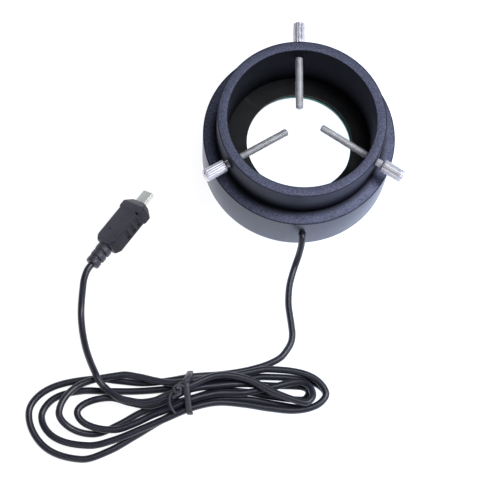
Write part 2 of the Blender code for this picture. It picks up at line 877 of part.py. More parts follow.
def bridge(bm, loops):
    """Skin matching loops with quads and close both ends."""
    for near, far in zip(loops, loops[1:]):
        for i in range(len(near)):
            bm.faces.new((near[i - 1], near[i], far[i], far[i - 1]))
    bm.faces.new(loops[0])
    bm.faces.new(loops[-1])


def make_screw_head(screw, stud, surfaces):
    """Fluted head. It turns about the stud's axis."""
    start = stud_bare_length() - screw_insertion(screw)
    head = finish_mesh(
        f"screw_head_{screw.name}", fluted_bmesh(start, HEAD_LENGTH), surfaces["nickel"], stud
    )
    socket = bmesh.new()
    add_drum(
        socket,
        STUD_RADIUS + CLEARANCE,
        (0.0, 0.0, start - OVERRUN),
        (0.0, 0.0, start + HEAD_SOCKET_DEPTH),
        STUD_STEPS,
    )
    boolean(head, guide(f"head_socket_{screw.name}", socket, stud), "DIFFERENCE")
    slot = bmesh.new()
    slot_depth = HEAD_SLOT_DEPTH + OVERRUN
    add_box(
        slot,
        (2.0 * (HEAD_RADIUS + OVERRUN), HEAD_SLOT_WIDTH, slot_depth),
        (0.0, 0.0, start + HEAD_LENGTH - HEAD_SLOT_DEPTH + slot_depth / 2.0),
    )
    boolean(head, guide(f"head_slot_{screw.name}", slot, stud), "DIFFERENCE")


def smooth_route(points):
    """Dense points of a smooth curve through the route's points."""
    points = [Vector(point) for point in points]
    tangents = []
    for i, point in enumerate(points):
        before = points[max(i - 1, 0)]
        after = points[min(i + 1, len(points) - 1)]
        tangents.append((after - before).normalized())
    dense = []
    for i in range(len(points) - 1):
        start, end = points[i], points[i + 1]
        chord = (end - start).length
        for j in range(CURVE_SAMPLES):
            t = j / CURVE_SAMPLES
            dense.append(
                start * (2 * t**3 - 3 * t**2 + 1)
                + tangents[i] * chord * (t**3 - 2 * t**2 + t)
                + end * (3 * t**2 - 2 * t**3)
                + tangents[i + 1] * chord * (t**3 - t**2)
            )
    dense.append(points[-1])
    return dense


def even_steps(dense, step):
    """Points at even distances along a dense line, with both of its ends."""
    lengths = [0.0]
    for near, far in zip(dense, dense[1:]):
        lengths.append(lengths[-1] + (far - near).length)
    count = max(2, math.ceil(lengths[-1] / step))
    picked = []
    place_in_line = 0
    for i in range(count + 1):
        target = lengths[-1] * i / count
        while place_in_line < len(dense) - 2 and lengths[place_in_line + 1] < target:
            place_in_line += 1
        span = lengths[place_in_line + 1] - lengths[place_in_line]
        share = (target - lengths[place_in_line]) / span
        picked.append(dense[place_in_line].lerp(dense[place_in_line + 1], share))
    return picked


def tube(name, points, radius, resolution, surface, parent):
    """A round tube with filled caps along the points."""
    curve = bpy.data.curves.new(name, "CURVE")
    curve.dimensions = "3D"
    curve.bevel_depth = radius
    curve.bevel_resolution = resolution
    curve.use_fill_caps = True
    curve.render_resolution_u = 0
    spline = curve.splines.new("POLY")
    spline.points.add(len(points) - 1)
    for slot, point in zip(spline.points, points):
        slot.co = (*point, 1.0)
    curve.materials.append(surface)
    item = bpy.data.objects.new(name, curve)
    bpy.context.scene.collection.objects.link(item)
    item.parent = parent
    return item


def make_wire(name, side, root, surfaces, surface):
    """One supply wire from the jacket's end up and over to its pad on the board."""
    outward = polar(1.0, CORD_EXIT_AZIMUTH)
    across = sideways(CORD_EXIT_AZIMUTH) * side
    up = Vector((0.0, 0.0, 1.0))
    face = outward * jacket_inner_end() + across * WIRE_START_OFFSET + up * cord_exit_height()
    route = []
    for inset, step, rise in WIRE_ROUTE:
        middle = outward * (flange_radius() - inset) + across * step
        route.append(middle + up * (cord_exit_height() + rise))
    pad = Vector((route[-1].x, route[-1].y, board_top()))
    points = stretch_points(
        (face, -outward, WIRE_STRAIGHT), route, (pad, up, WIRE_STRAIGHT), 2.0 * WIRE_RADIUS
    )
    tube(name, points, WIRE_RADIUS, 1, surfaces[surface], root)


def hank_matrix():
    return Matrix.Translation((*HANK_WAIST, 0.0)) @ Matrix.Rotation(
        math.radians(HANK_AZIMUTH), 4, "Z"
    )


def ease(share):
    share = min(max(share, 0.0), 1.0)
    return share * share * (3.0 - 2.0 * share)


def run_point(waist, length, across, height, sway, climb_share, t):
    """Point on a run, from the waist at t 0 to its widest place at t 1."""
    rise = ease((climb_share + CLIMB_SPAN_SHARE / 2.0 - t) / CLIMB_SPAN_SHARE)
    return Vector(
        (
            length * t,
            waist.across * (2 * t**3 - 3 * t**2 + 1)
            + waist.slope * length * (t**3 - 2 * t**2 + t)
            + across * (3 * t**2 - 2 * t**3)
            + sway * 16 * t**2 * (1 - t) ** 2,
            height + (waist.height - height) * rise,
        )
    )


def bend_point(length, across, height, lobe, angle):
    """Point on a quarter bend, from a run's widest place at 0 to the tip at 90 degrees."""
    sine = math.sin(math.radians(angle))
    cosine = math.cos(math.radians(angle))
    return Vector(
        (
            length + (lobe.reach - length) * sine,
            lobe.tip_across + (across - lobe.tip_across) * cosine,
            height + (lobe.tip_height - height) * (1.0 - cosine),
        )
    )


def lobe_points(waist_out, lobe, waist_back):
    """One half turn of the hank, up to but without its last pass at the waist."""
    points = []
    for i in range(RUN_POINTS):
        points.append(
            run_point(
                waist_out,
                lobe.out_length,
                lobe.out_across,
                waist_out.height,
                lobe.out_sway,
                lobe.climb_share,
                i / RUN_POINTS,
            )
        )
    for i in range(BEND_POINTS):
        angle = 90.0 * i / BEND_POINTS
        points.append(bend_point(lobe.out_length, lobe.out_across, waist_out.height, lobe, angle))
    for i in range(BEND_POINTS):
        angle = 90.0 - 90.0 * i / BEND_POINTS
        points.append(bend_point(lobe.back_length, lobe.back_across, lobe.back_height, lobe, angle))
    for i in range(RUN_POINTS):
        points.append(
            run_point(
                waist_back,
                lobe.back_length,
                lobe.back_across,
                lobe.back_height,
                lobe.back_sway,
                lobe.climb_share,
                1.0 - i / RUN_POINTS,
            )
        )
    return points


def waist_end(waist, side):
    """A cord's diameter beyond the waist, straight on along the pass."""
    along = Vector((side, side * waist.slope, 0.0)).normalized() * CORD_DIAMETER
    return Vector((0.0, waist.across, waist.height)) + along


def lifted(point):
    """Raise the runs near the waist, where the tie lies under them."""
    lift = WAIST_LIFT * ease(1.0 - abs(point.x) / WAIST_LIFT_RUN)
    return Vector((point.x, point.y, point.z + lift))


def hank_points():
    """Centre line of the whole hank, from the lead's end to the tail's."""
    first = HANK_PASSES[0]
    last = HANK_PASSES[-1]
    points = [waist_end(first, 1.0)]
    for out, lobe, back in zip(HANK_PASSES, HANK_LOBES, HANK_PASSES[1:]):
        points += lobe_points(out, lobe, back)
    points.append(Vector((0.0, last.across, last.height)))
    points.append(waist_end(last, -1.0))
    matrix = hank_matrix()
    return [matrix @ lifted(point) for point in points]


def line_samples(points):
    samples = []
    for near, far in zip(points, points[1:]):
        samples += [near.lerp(far, i / GAP_SAMPLES) for i in range(GAP_SAMPLES)]
    samples.append(points[-1])
    return samples


def print_least_gap(points):
    """Measure how near the hank's cord comes to itself."""
    samples = line_samples(points)
    lengths = [0.0]
    for near, far in zip(samples, samples[1:]):
        lengths.append(lengths[-1] + (far - near).length)
    least = math.inf
    for i, near in enumerate(samples):
        for j in range(i + 1, len(samples)):
            if lengths[j] - lengths[i] > 3.0 * CORD_DIAMETER:
                least = min(least, (samples[j] - near).length)
    gap = least - CORD_DIAMETER
    print(f"hank: least gap {gap * 1000:.2f} mm, wanted over {LEAST_GAP * 1000:.2f} mm")


def make_cord_root(root):
    """Empty on the floor below the cord's exit: the cord's routes are seen from it."""
    cord_root = bpy.data.objects.new("cord_exit", None)
    bpy.context.scene.collection.objects.link(cord_root)
    cord_root.parent = root
    cord_root.location = polar(flange_radius(), CORD_EXIT_AZIMUTH)
    return cord_root


def make_cord(root, surfaces):
    """The lead from the housing, the hank, and the tail to the plug."""
    radius = CORD_DIAMETER / 2.0
    hank = hank_points()
    print_least_gap(hank)
    tube("cord_hank", hank, radius, 1, surfaces["jacket"], root)

    outward = polar(1.0, CORD_EXIT_AZIMUTH)
    exit_face = polar(JACKET_PROUD, CORD_EXIT_AZIMUTH, cord_exit_height())
    lead = stretch_points(
        (exit_face, outward, LEAD_STRAIGHT),
        LEAD_ROUTE,
        (hank[0], hank[0] - hank[1], CORD_DIAMETER),
        CORD_STEP,
    )
    tube("cord_lead", lead, radius, 2, surfaces["jacket"], root)

    plug = plug_matrix()
    backward = plug.to_3x3() @ Vector((-1.0, 0.0, 0.0))
    tail = stretch_points(
        (hank[-1], hank[-1] - hank[-2], CORD_DIAMETER),
        TAIL_ROUTE,
        (plug.translation, backward, CORD_DIAMETER),
        CORD_STEP,
    )
    tube("cord_tail", tail, radius, 2, surfaces["jacket"], root)


def stretch_points(start, route, end, step):
    """Free stretch between two faces, each a (point, outward, straight run) triple."""
    near_face, near_straight = square_end(*start)
    far_face, far_straight = square_end(*end)
    bent = [near_straight] + [Vector(point) for point in route] + [far_straight]
    return [near_face] + even_steps(smooth_route(bent), step) + [far_face]


def square_end(face, outward, straight):
    """Two points that bring a tube straight up to a face, short of it by the clearance."""
    outward = outward.normalized()
    return face + outward * CLEARANCE, face + outward * (CLEARANCE + straight)


def tie_outline(offset):
    """Outline round all passes at the waist, as (across, height) points."""
    middle = sum(waist.height for waist in HANK_PASSES) / len(HANK_PASSES) + WAIST_LIFT
    outline = []
    for i in range(TIE_SIDES):
        angle = 2.0 * math.pi * i / TIE_SIDES
        across, up = math.cos(angle), math.sin(angle)
        outermost = max(
            HANK_PASSES,
            key=lambda waist: waist.across * across + (waist.height + WAIST_LIFT - middle) * up,
        )
        reach = CORD_DIAMETER / 2.0 + offset
        outline.append(
            (
                outermost.across + reach * across,
                outermost.height + WAIST_LIFT + reach * up,
            )
        )
    return outline


def make_tie(root, surfaces):
    bm = bmesh.new()
    inner = tie_outline(2.0 * CLEARANCE)
    outer = tie_outline(2.0 * CLEARANCE + TIE_THICKNESS)
    half = TIE_WIDTH / 2.0
    loops = []
    for outline, along in ((inner, -half), (outer, -half), (outer, half), (inner, half)):
        loops.append([bm.verts.new((along, across, height)) for across, height in outline])
    for near, far in zip(loops, loops[1:] + loops[:1]):
        for i in range(TIE_SIDES):
            bm.faces.new((near[i - 1], near[i], far[i], far[i - 1]))
    matrix = hank_matrix()
    tie = finish_mesh("hank_tie", bm, surfaces["tie"], root, matrix)
    end_points = even_steps(smooth_route(TIE_END_ROUTE), 3.0 * TIE_END_RADIUS)
    end = tube("tie_end", end_points, TIE_END_RADIUS, 1, surfaces["tie"], root)
    end.matrix_local = matrix
    end.hide_render = True
    end.display_type = "WIRE"
    knot = bmesh.new()
    bmesh.ops.create_icosphere(
        knot, subdivisions=1, radius=TIE_KNOT_RADIUS, matrix=Matrix.Translation(TIE_KNOT_PLACE)
    )
    join_tube(tie, end, guide("tie_knot", knot, root, matrix))


def join_tube(item, tube_item, other):
    """Join a tube and another guide to an item, with the tube as a plain mesh."""
    graph = bpy.context.evaluated_depsgraph_get()
    mesh = bpy.data.meshes.new_from_object(tube_item.evaluated_get(graph))
    solid = bpy.data.objects.new(tube_item.name + "_solid", mesh)
    bpy.context.scene.collection.objects.link(solid)
    solid.parent = tube_item.parent
    solid.matrix_local = tube_item.matrix_local
    solid.hide_render = True
    solid.display_type = "WIRE"
    bpy.data.objects.remove(tube_item)
    boolean(item, solid, "UNION")
    boolean(item, other, "UNION")


def plug_matrix():
    return (
        Matrix.Translation(PLUG_PLACE)
        @ Matrix.Rotation(math.radians(PLUG_AZIMUTH), 4, "Z")
        @ Matrix.Rotation(-math.radians(PLUG_PITCH), 4, "Y")
        @ Matrix.Rotation(-math.radians(PLUG_ROLL), 4, "X")
    )


def boot_length():
    return BOOT_SEGMENTS * (BOOT_SEGMENT_LENGTH + BOOT_GROOVE_LENGTH)


def plug_section(bm, along, width, height, corner):
    """Loop of a rounded rectangle across the plug's axis."""
    loop = []
    for quarter in range(4):
        side_y = (1.0, -1.0, -1.0, 1.0)[quarter]
        side_z = (1.0, 1.0, -1.0, -1.0)[quarter]
        for i in range(CORNER_POINTS):
            angle = math.radians(90.0 * (quarter + (i + 0.5) / CORNER_POINTS))
            y = side_y * (width / 2.0 - corner) + corner * math.cos(angle)
            z = side_z * (height / 2.0 - corner) + corner * math.sin(angle)
            loop.append(bm.verts.new((along, y, z)))
    return loop


def round_section(bm, along, radius):
    return plug_section(bm, along, 2.0 * radius, 2.0 * radius, radius)


def boot_loops(bm):
    loops = []
    pitch = BOOT_SEGMENT_LENGTH + BOOT_GROOVE_LENGTH
    for i in range(BOOT_SEGMENTS):
        share = i / (BOOT_SEGMENTS - 1)
        radius = BOOT_END_RADIUS + (BOOT_ROOT_RADIUS - BOOT_END_RADIUS) * share
        start = i * pitch
        end = start + BOOT_SEGMENT_LENGTH
        edge = BOOT_GROOVE_DEPTH / 2.0
        loops.append(round_section(bm, start, radius - edge))
        loops.append(round_section(bm, start + edge, radius))
        loops.append(round_section(bm, end - edge, radius))
        loops.append(round_section(bm, end, radius - edge))
        loops.append(round_section(bm, end, radius - BOOT_GROOVE_DEPTH))
        loops.append(round_section(bm, start + pitch, radius - BOOT_GROOVE_DEPTH))
    return loops


def body_loops(bm):
    start = boot_length()
    end = start + BODY_LENGTH
    edge = PLUG_EDGE
    inset_corner = BODY_CORNER - edge
    front = end + GRIP_COLLAR_LENGTH
    nose = front - GRIP_NOSE_LENGTH
    return [
        plug_section(bm, start, BODY_WIDTH - 2.0 * edge, BODY_HEIGHT - 2.0 * edge, inset_corner),
        plug_section(bm, start + edge, BODY_WIDTH, BODY_HEIGHT, BODY_CORNER),
        plug_section(bm, end, BODY_WIDTH, BODY_HEIGHT, BODY_CORNER),
        plug_section(
            bm,
            end + edge,
            GRIP_COLLAR_WIDTH - edge,
            GRIP_COLLAR_HEIGHT - edge,
            GRIP_COLLAR_CORNER - edge / 2.0,
        ),
        plug_section(bm, end + 2.0 * edge, GRIP_COLLAR_WIDTH, GRIP_COLLAR_HEIGHT, GRIP_COLLAR_CORNER),
        plug_section(bm, nose, GRIP_COLLAR_WIDTH, GRIP_COLLAR_HEIGHT, GRIP_COLLAR_CORNER),
        plug_section(bm, front, GRIP_NOSE_WIDTH, GRIP_NOSE_HEIGHT, GRIP_COLLAR_CORNER - edge),
    ]


def shell_outline(offset):
    """Outline of the plug's shell as (y, z) points: a box whose foot is drawn in."""
    half = SHELL_WIDTH / 2.0 + offset
    foot = SHELL_FOOT_WIDTH / 2.0 + offset
    top = SHELL_HEIGHT / 2.0 + offset
    shoulder = SHELL_HEIGHT / 2.0 - SHELL_SHOULDER
    return (
        (half, top),
        (half, shoulder),
        (foot, -top),
        (-foot, -top),
        (-half, shoulder),
        (-half, top),
    )


def prism_bmesh(outline, start, end):
    bm = bmesh.new()
    loops = [[bm.verts.new((along, y, z)) for y, z in outline] for along in (start, end)]
    bridge(bm, loops)
    return bm


def make_overmould(root, surfaces):
    """Moulded grip with a ribbed boot on the cord's side and a bevelled collar in front."""
    matrix = plug_matrix()
    front = boot_length() + BODY_LENGTH + GRIP_COLLAR_LENGTH
    bm = bmesh.new()
    bridge(bm, boot_loops(bm) + body_loops(bm))
    grip = finish_mesh("plug_overmould", bm, surfaces["plug"], root, matrix)
    pocket = prism_bmesh(shell_outline(CLEARANCE), front - SHELL_ROOT - CLEARANCE, front + OVERRUN)
    boolean(grip, guide("plug_pocket", pocket, root, matrix), "DIFFERENCE")
    dents = bmesh.new()
    middle = boot_length() + BODY_LENGTH - GRIP_DENT_SETBACK
    for side in (1.0, -1.0):
        for i in range(GRIP_DENTS):
            along = middle + (i - (GRIP_DENTS - 1) / 2.0) * GRIP_DENT_STEP
            add_box(
                dents,
                (GRIP_DENT_LENGTH, 2.0 * GRIP_DENT_DEPTH, BODY_HEIGHT - 2.0 * BODY_CORNER),
                (along, side * BODY_WIDTH / 2.0, 0.0),
            )
    boolean(grip, guide("plug_dents", dents, root, matrix), "DIFFERENCE")


def make_plug_shell(root, surfaces):
    matrix = plug_matrix()
    front = boot_length() + BODY_LENGTH + GRIP_COLLAR_LENGTH
    start = front - SHELL_ROOT
    end = front + SHELL_LENGTH
    shell = finish_mesh(
        "plug_shell", prism_bmesh(shell_outline(0.0), start, end), surfaces["shell"], root, matrix
    )
    hollow = prism_bmesh(shell_outline(-SHELL_WALL), start - OVERRUN, end + OVERRUN)
    boolean(shell, guide("shell_hollow", hollow, root, matrix), "DIFFERENCE")
    tongue = bmesh.new()
    tongue_end = end - TONGUE_SETBACK
    add_box(
        tongue,
        (tongue_end - start, TONGUE_WIDTH, TONGUE_THICKNESS),
        ((start + tongue_end) / 2.0, 0.0, 0.0),
    )
    finish_mesh("plug_tongue", tongue, surfaces["moulded"], root, matrix)


CORD_NODES = (
    "cord_lead",
    "cord_hank",
    "cord_tail",
    "hank_tie",
    "plug_overmould",
    "plug_shell",
    "plug_tongue",
)


def stand_on_origin(root):
    """Move the part so that its box without the cord stands centred on the origin."""
    bpy.context.view_layer.update()
    corners = []
    for item in bpy.context.scene.objects:
        if item.type != "MESH" or item.hide_render or item.name in CORD_NODES:
            continue
        corners += [item.matrix_world @ vertex.co for vertex in item.data.vertices]
    middle = [(min(c[i] for c in corners) + max(c[i] for c in corners)) / 2.0 for i in (0, 1)]
    root.location = (-middle[0], -middle[1], -min(c[2] for c in corners))
    bpy.context.view_layer.update()
    print("ring's axis stands at", [round(value, 6) for value in root.location])


def main():
    clear_scene()
    surfaces = make_materials()
    root = bpy.data.objects.new("ring_light", None)
    bpy.context.scene.collection.objects.link(root)
    make_housing(root, surfaces)
    make_floor_ring(root, surfaces)
    make_board(root, surfaces)
    make_diode_row(
        "leds_inner_row", inner_row_radius(), INNER_ROW_COUNT, INNER_RING_OFFSET, root, surfaces
    )
    make_diode_row(
        "leds_outer_row", outer_row_radius(), OUTER_ROW_COUNT, OUTER_RING_OFFSET, root, surfaces
    )
    make_spacers(root, surfaces)
    make_window_screws(root, surfaces)
    make_window(root, surfaces)
    make_shade(root, surfaces)
    make_resistors(root, surfaces)
    make_jacket_end(root, surfaces)
    make_cord_stop(root, surfaces)
    make_wire("wire_red", 1.0, root, surfaces, "red")
    make_wire("wire_black", -1.0, root, surfaces, "black")
    for screw in THUMBSCREWS:
        stud = make_screw_stud(screw, root, surfaces)
        make_screw_head(screw, stud, surfaces)
    cord_root = make_cord_root(root)
    make_cord(cord_root, surfaces)
    make_tie(cord_root, surfaces)
    make_overmould(cord_root, surfaces)
    make_plug_shell(cord_root, surfaces)
    stand_on_origin(root)
    for screw in THUMBSCREWS:
        frame = root.matrix_world @ screw_matrix(screw)
        axis = frame.to_3x3() @ Vector((0.0, 0.0, 1.0))
        print(screw.name, [round(v, 5) for v in frame.translation], [round(v, 5) for v in axis])


main()
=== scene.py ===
"""Looks of the microscope ring light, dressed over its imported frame.

Lengths in this file are millimetres from the ring's own axis, on the floor, unless a
name says otherwise. TO_WORLD turns them into the frame's metres.
"""

import math
from typing import NamedTuple

import bmesh
import bpy
from mathutils import Matrix, Vector


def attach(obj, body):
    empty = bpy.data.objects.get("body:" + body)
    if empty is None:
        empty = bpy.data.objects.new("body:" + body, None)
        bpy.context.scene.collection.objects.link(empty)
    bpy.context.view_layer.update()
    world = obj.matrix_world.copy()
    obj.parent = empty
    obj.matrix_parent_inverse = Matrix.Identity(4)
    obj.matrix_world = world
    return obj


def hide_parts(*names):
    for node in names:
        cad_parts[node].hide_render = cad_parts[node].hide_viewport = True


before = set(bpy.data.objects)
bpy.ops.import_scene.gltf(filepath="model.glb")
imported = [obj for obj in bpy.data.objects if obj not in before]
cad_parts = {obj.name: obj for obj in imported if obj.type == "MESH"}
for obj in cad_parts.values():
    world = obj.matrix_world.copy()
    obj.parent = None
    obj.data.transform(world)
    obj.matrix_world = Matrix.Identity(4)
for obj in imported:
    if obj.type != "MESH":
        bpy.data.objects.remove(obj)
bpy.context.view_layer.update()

RING_AXIS = Vector((-0.002666, -0.004074, 0.0))
IDENTITY = Matrix.Identity(4)
UP = Vector((0.0, 0.0, 1.0))
TO_WORLD = Matrix.Translation(RING_AXIS) @ Matrix.Diagonal((0.001, 0.001, 0.001, 1.0))

# Camera: lens in millimetres, place in metres from the ring's axis, and its axes
CAMERA_LENS = 103.28
CAMERA_PLACE = Vector((-0.0218, -0.3032, 0.6910))
CAMERA_RIGHT = Vector((0.9931, 0.1104, 0.0399))
CAMERA_BACK = Vector((0.0, -0.3396, 0.9406))

# Housing
BORE_RADIUS = 37.8
COLLAR_RADIUS = 43.1
FLANGE_RADIUS = 50.0
CHAMBER_RADIUS = 47.5
SLEEVE_RADIUS = 42.3
HOUSING_HEIGHT = 48.3
FLANGE_HEIGHT = 27.5
CEILING_HEIGHT = 24.5
SLEEVE_BOTTOM = 16.2
HOUSING_EDGE = 0.35
CLEARANCE = 0.3
CHAMBER_FIT_RADIUS = CHAMBER_RADIUS - CLEARANCE
FINE_STEPS = 240
HOLE_SIDES = 48

# Inside the bore and the flange
CORD_EXIT_AZIMUTH = -81.5
WINDOW_BOTTOM = 1.6
WINDOW_TOP = 3.1
WINDOW_INNER_RADIUS = 36.5
DIODE_TOP = 11.7
DIODE_LENGTH = 8.3
BOARD_BOTTOM = 12.0
BOARD_TOP = 13.6
BOARD_INNER_RADIUS = 28.2
BOARD_NOTCH_START = 43.0
BOARD_NOTCH_WIDTH = 6.4
FLOOR_BOTTOM = 13.9
FLOOR_TOP = 15.9
FLOOR_OPENING_RADIUS = 27.8
FLOOR_OPENING_SHIFT = 1.3
FLOOR_OPENING_AZIMUTH = 42.0
FLOOR_BLANK_RADIUS = 24.5
SHADE_TOP_RADIUS = 30.8
SHADE_WALL = 0.5
SPACER_CIRCLE_RADIUS = 40.05
SPACER_HOLE_RADIUS = 1.3
SPACER_AZIMUTHS = [CORD_EXIT_AZIMUTH + 45.0 + 90.0 * i for i in range(4)]
# Rows of diodes: name, radius, count, and their spacing ring's inner radius
DIODE_ROWS = (("inner", 38.2, 24, 36.0), ("outer", 44.4, 32, 45.6))
DIODE_RING_WIDTH = 1.3
DIODE_RING_BOTTOM = 8.0
DIODE_RING_TOP = 8.8
RESISTOR_CIRCLE_RADIUS = 44.9
RESISTOR_RADIUS = 1.15
RESISTOR_STEPS = (60.0, 120.0, 240.0, 300.0)
WIRE_RADIUS = 0.62

# Cord
CORD_DIAMETER = 3.5
CORD_EXIT_HEIGHT = 13.75
CORD_START_RADIUS = 44.6


class Screw(NamedTuple):
    """One thumbscrew: hole in the collar, axis, how far its tip reaches in, slot's turn."""

    hole_azimuth: float
    axis_azimuth: float
    insertion: float
    slot_turn: float


SCREWS = {
    "back": Screw(96.8, 95.9, 33.74, 101.0),
    "left": Screw(216.9, 217.5, 35.01, 102.0),
    "right": Screw(339.4, 333.0, 33.43, 128.0),
}
# countersinks of the screws' holes, along the screw: start, end, and the radius at each
SCREW_SINKS = ((-0.45, 0.55, 2.10, 3.10), (-6.1, -5.0, 3.20, 2.10))
THUMBSCREW_HEIGHT = 39.0
STUD_RADIUS = 1.95
STUD_BARE_LENGTH = 36.7
THREAD_PITCH = 0.7
THREAD_DEPTH = 0.32
HEAD_RADIUS = 3.25
HEAD_LENGTH = 12.2
HEAD_FLUTES = 12
HEAD_FLUTE_DEPTH = 0.27
HEAD_FLUTE_FADE = 0.45
HEAD_SLOT_WIDTH = 1.0
HEAD_SLOT_DEPTH = 1.6
SOCKET_DEPTH = 6.0
# distance from either end of a head, and how far its edge is drawn in there
HEAD_EDGE = ((0.0, 0.75), (0.12, 0.52), (0.35, 0.25), (0.62, 0.06), (0.85, 0.0), (3.0, 0.0))

LEAD_ROUTE = (
    (7.7, -52.7, 12.7), (7.7, -54.9, 10.0), (7.1, -58.6, 5.6), (6.0, -63.1, 2.9),
    (4.9, -68.5, 1.9), (4.2, -73.9, 1.8), (4.2, -79.2, 1.8), (4.7, -84.7, 1.8),
    (5.9, -90.0, 1.8), (7.2, -95.2, 1.8), (8.2, -100.2, 1.8), (8.0, -104.5, 1.8),
    (6.3, -108.8, 1.8), (3.4, -113.2, 1.8), (-2.2, -117.2, 1.8), (-8.5, -120.2, 1.8),
    (-15.9, -122.9, 1.8), (-25.9, -125.7, 2.2),
)
TAIL_ROUTE = (
    (-51.5, -141.9, 10.8), (-56.7, -144.9, 10.6), (-63.4, -146.6, 10.3), (-69.2, -146.4, 10.1),
    (-74.5, -145.6, 10.1), (-82.5, -140.8, 9.5), (-86.0, -137.6, 10.6), (-87.8, -134.6, 10.2),
    (-91.2, -128.7, 7.4), (-94.6, -121.8, 4.6), (-97.2, -115.0, 2.6), (-99.2, -108.2, 1.8),
    (-100.5, -101.8, 1.8), (-101.0, -95.8, 3.4), (-101.1, -90.5, 5.6), (-101.0, -85.7, 7.6),
)

# Hank: passes at the waist (across, height, slope) and the half turns between them
HANK_WAIST = (-40.0, -138.0)
HANK_AZIMUTH = 8.5
HANK_PASSES = (
    (8.9, 1.8, 0.11),
    (-6.4, 1.8, 0.35),
    (4.2, 1.8, 0.09),
    (-8.1, 5.8, 0.41),
    (6.0, 5.8, 0.33),
    (-2.3, 1.8, 0.44),
    (1.5, 5.8, 0.13),
    (-3.7, 5.8, 0.62),
    (2.5, 9.8, 0.53),
)
# reach, tip across, tip height, out length, across, sway, back length, across, height,
# sway, and where the climb to the waist lies
HANK_LOBES = (
    (-80.3, -6.6, 1.8, -47.9, 9.7, -1.8, -54.8, -30.9, 1.8, 1.0, 0.46),
    (68.5, -0.4, 1.9, 58.1, -8.4, 1.7, 38.3, 8.3, 1.8, -0.6, 0.25),
    (-74.0, -9.4, 1.8, -54.8, 3.5, -0.6, -50.4, -24.7, 4.4, 1.2, 0.74),
    (68.3, -1.4, 6.1, 53.1, -10.3, 0.1, 40.2, 11.3, 5.5, -2.1, 0.73),
    (-64.8, -7.8, 8.4, -34.1, 10.3, 0.1, -47.6, -18.5, 1.8, 5.0, 0.54),
    (59.9, -0.5, 3.2, 56.3, -4.1, 0.9, 54.5, 2.9, 1.7, 1.1, 0.61),
    (-56.0, -8.6, 6.3, -39.6, -1.3, -5.3, -37.5, -17.5, 5.9, 2.8, 0.69),
    (61.4, -2.7, 8.7, 54.7, 4.4, -5.2, 56.8, -7.4, 10.1, 4.2, 0.2),
)
WAIST_LIFT = 1.4
WAIST_LIFT_RUN = 26.0
RUN_POINTS = 4
BEND_POINTS = 2

# Plug, placed by the middle of its cord end
PLUG_MATRIX = (
    Matrix.Translation((-98.1, -77.5, 8.6))
    @ Matrix.Rotation(math.radians(60.9), 4, "Z")
    @ Matrix.Rotation(math.radians(1.8), 4, "Y")
    @ Matrix.Rotation(-math.radians(30.0), 4, "X")
)
PLUG_TO_WORLD = TO_WORLD @ PLUG_MATRIX
BOOT_LENGTH = 12.0
BODY_LENGTH = 21.7
GRIP_LENGTH = 8.1
NOSE_LENGTH = 3.5
GRIP_START = BOOT_LENGTH + BODY_LENGTH
PLUG_FRONT = GRIP_START + GRIP_LENGTH
# width, height and corner
BODY_SIZE = (13.4, 9.8, 1.6)
GRIP_SIZE = (15.2, 10.2, 1.6)
NOSE_SIZE = (8.8, 5.4, 1.0)
BODY_WIDTH, BODY_HEIGHT, BODY_CORNER = BODY_SIZE
# ribs of the boot, and at a distance from either end how far the edge is drawn in
BOOT_RIBS = 3
BOOT_RIB_PITCH = 4.0
BOOT_RIB_LENGTH = 3.2
BOOT_RIB_EDGE = ((0.10, 0.28), (0.32, 0.08), (0.70, 0.0))
# the grooves between the ribs lie off centre, so they are deeper on one side
BOOT_GROOVE_DEPTH = 0.75
BOOT_GROOVE_SHIFT = Vector((0.0, 0.46, 0.46))
# along the body's rear end, and how far its sides and its top are drawn in
REAR_BEVEL = (
    (0.0, 2.60, 1.30),
    (0.08, 2.20, 0.80),
    (0.35, 1.90, 0.40),
    (0.8, 1.55, 0.16),
    (2.7, 0.16, 0.06),
    (3.2, 0.0, 0.0),
)
# along the step from the body to its grip, and the share of the step reached
GRIP_STEP = ((0.0, 0.06), (0.35, 0.35), (0.75, 0.8), (1.2, 1.0))
# share of the nose's length, and of its taper
NOSE_TAPER = ((-0.12, 0.0), (0.0, 0.03), (0.12, 0.13), (0.5, 0.5), (0.85, 0.86), (0.97, 1.0), (1.0, 1.08))
DENT_RADIUS = 1.25
DENT_PITCH = 4.2
DENT_HALF_HEIGHT = 2.9
DENTS_BEHIND_GRIP = 6.6
DIMPLE_PLACE = (20.2, 1.4)
SHELL_LENGTH = 7.4
SHELL_WALL = 0.4
SHELL_START = PLUG_FRONT - 2.0
SHELL_END = PLUG_FRONT + SHELL_LENGTH

# Tie round the hank's waist
TIE_HALF_WIDTH = 1.5
TIE_EDGE = 0.18
TIE_INNER = 0.6
TIE_OUTER = 1.4
TIE_CROWN = 1.55
TIE_SAG = 1.9
TIE_BOW = 0.0165
TIE_BOW_MIDDLE = -0.5
TIE_POINTS = 64
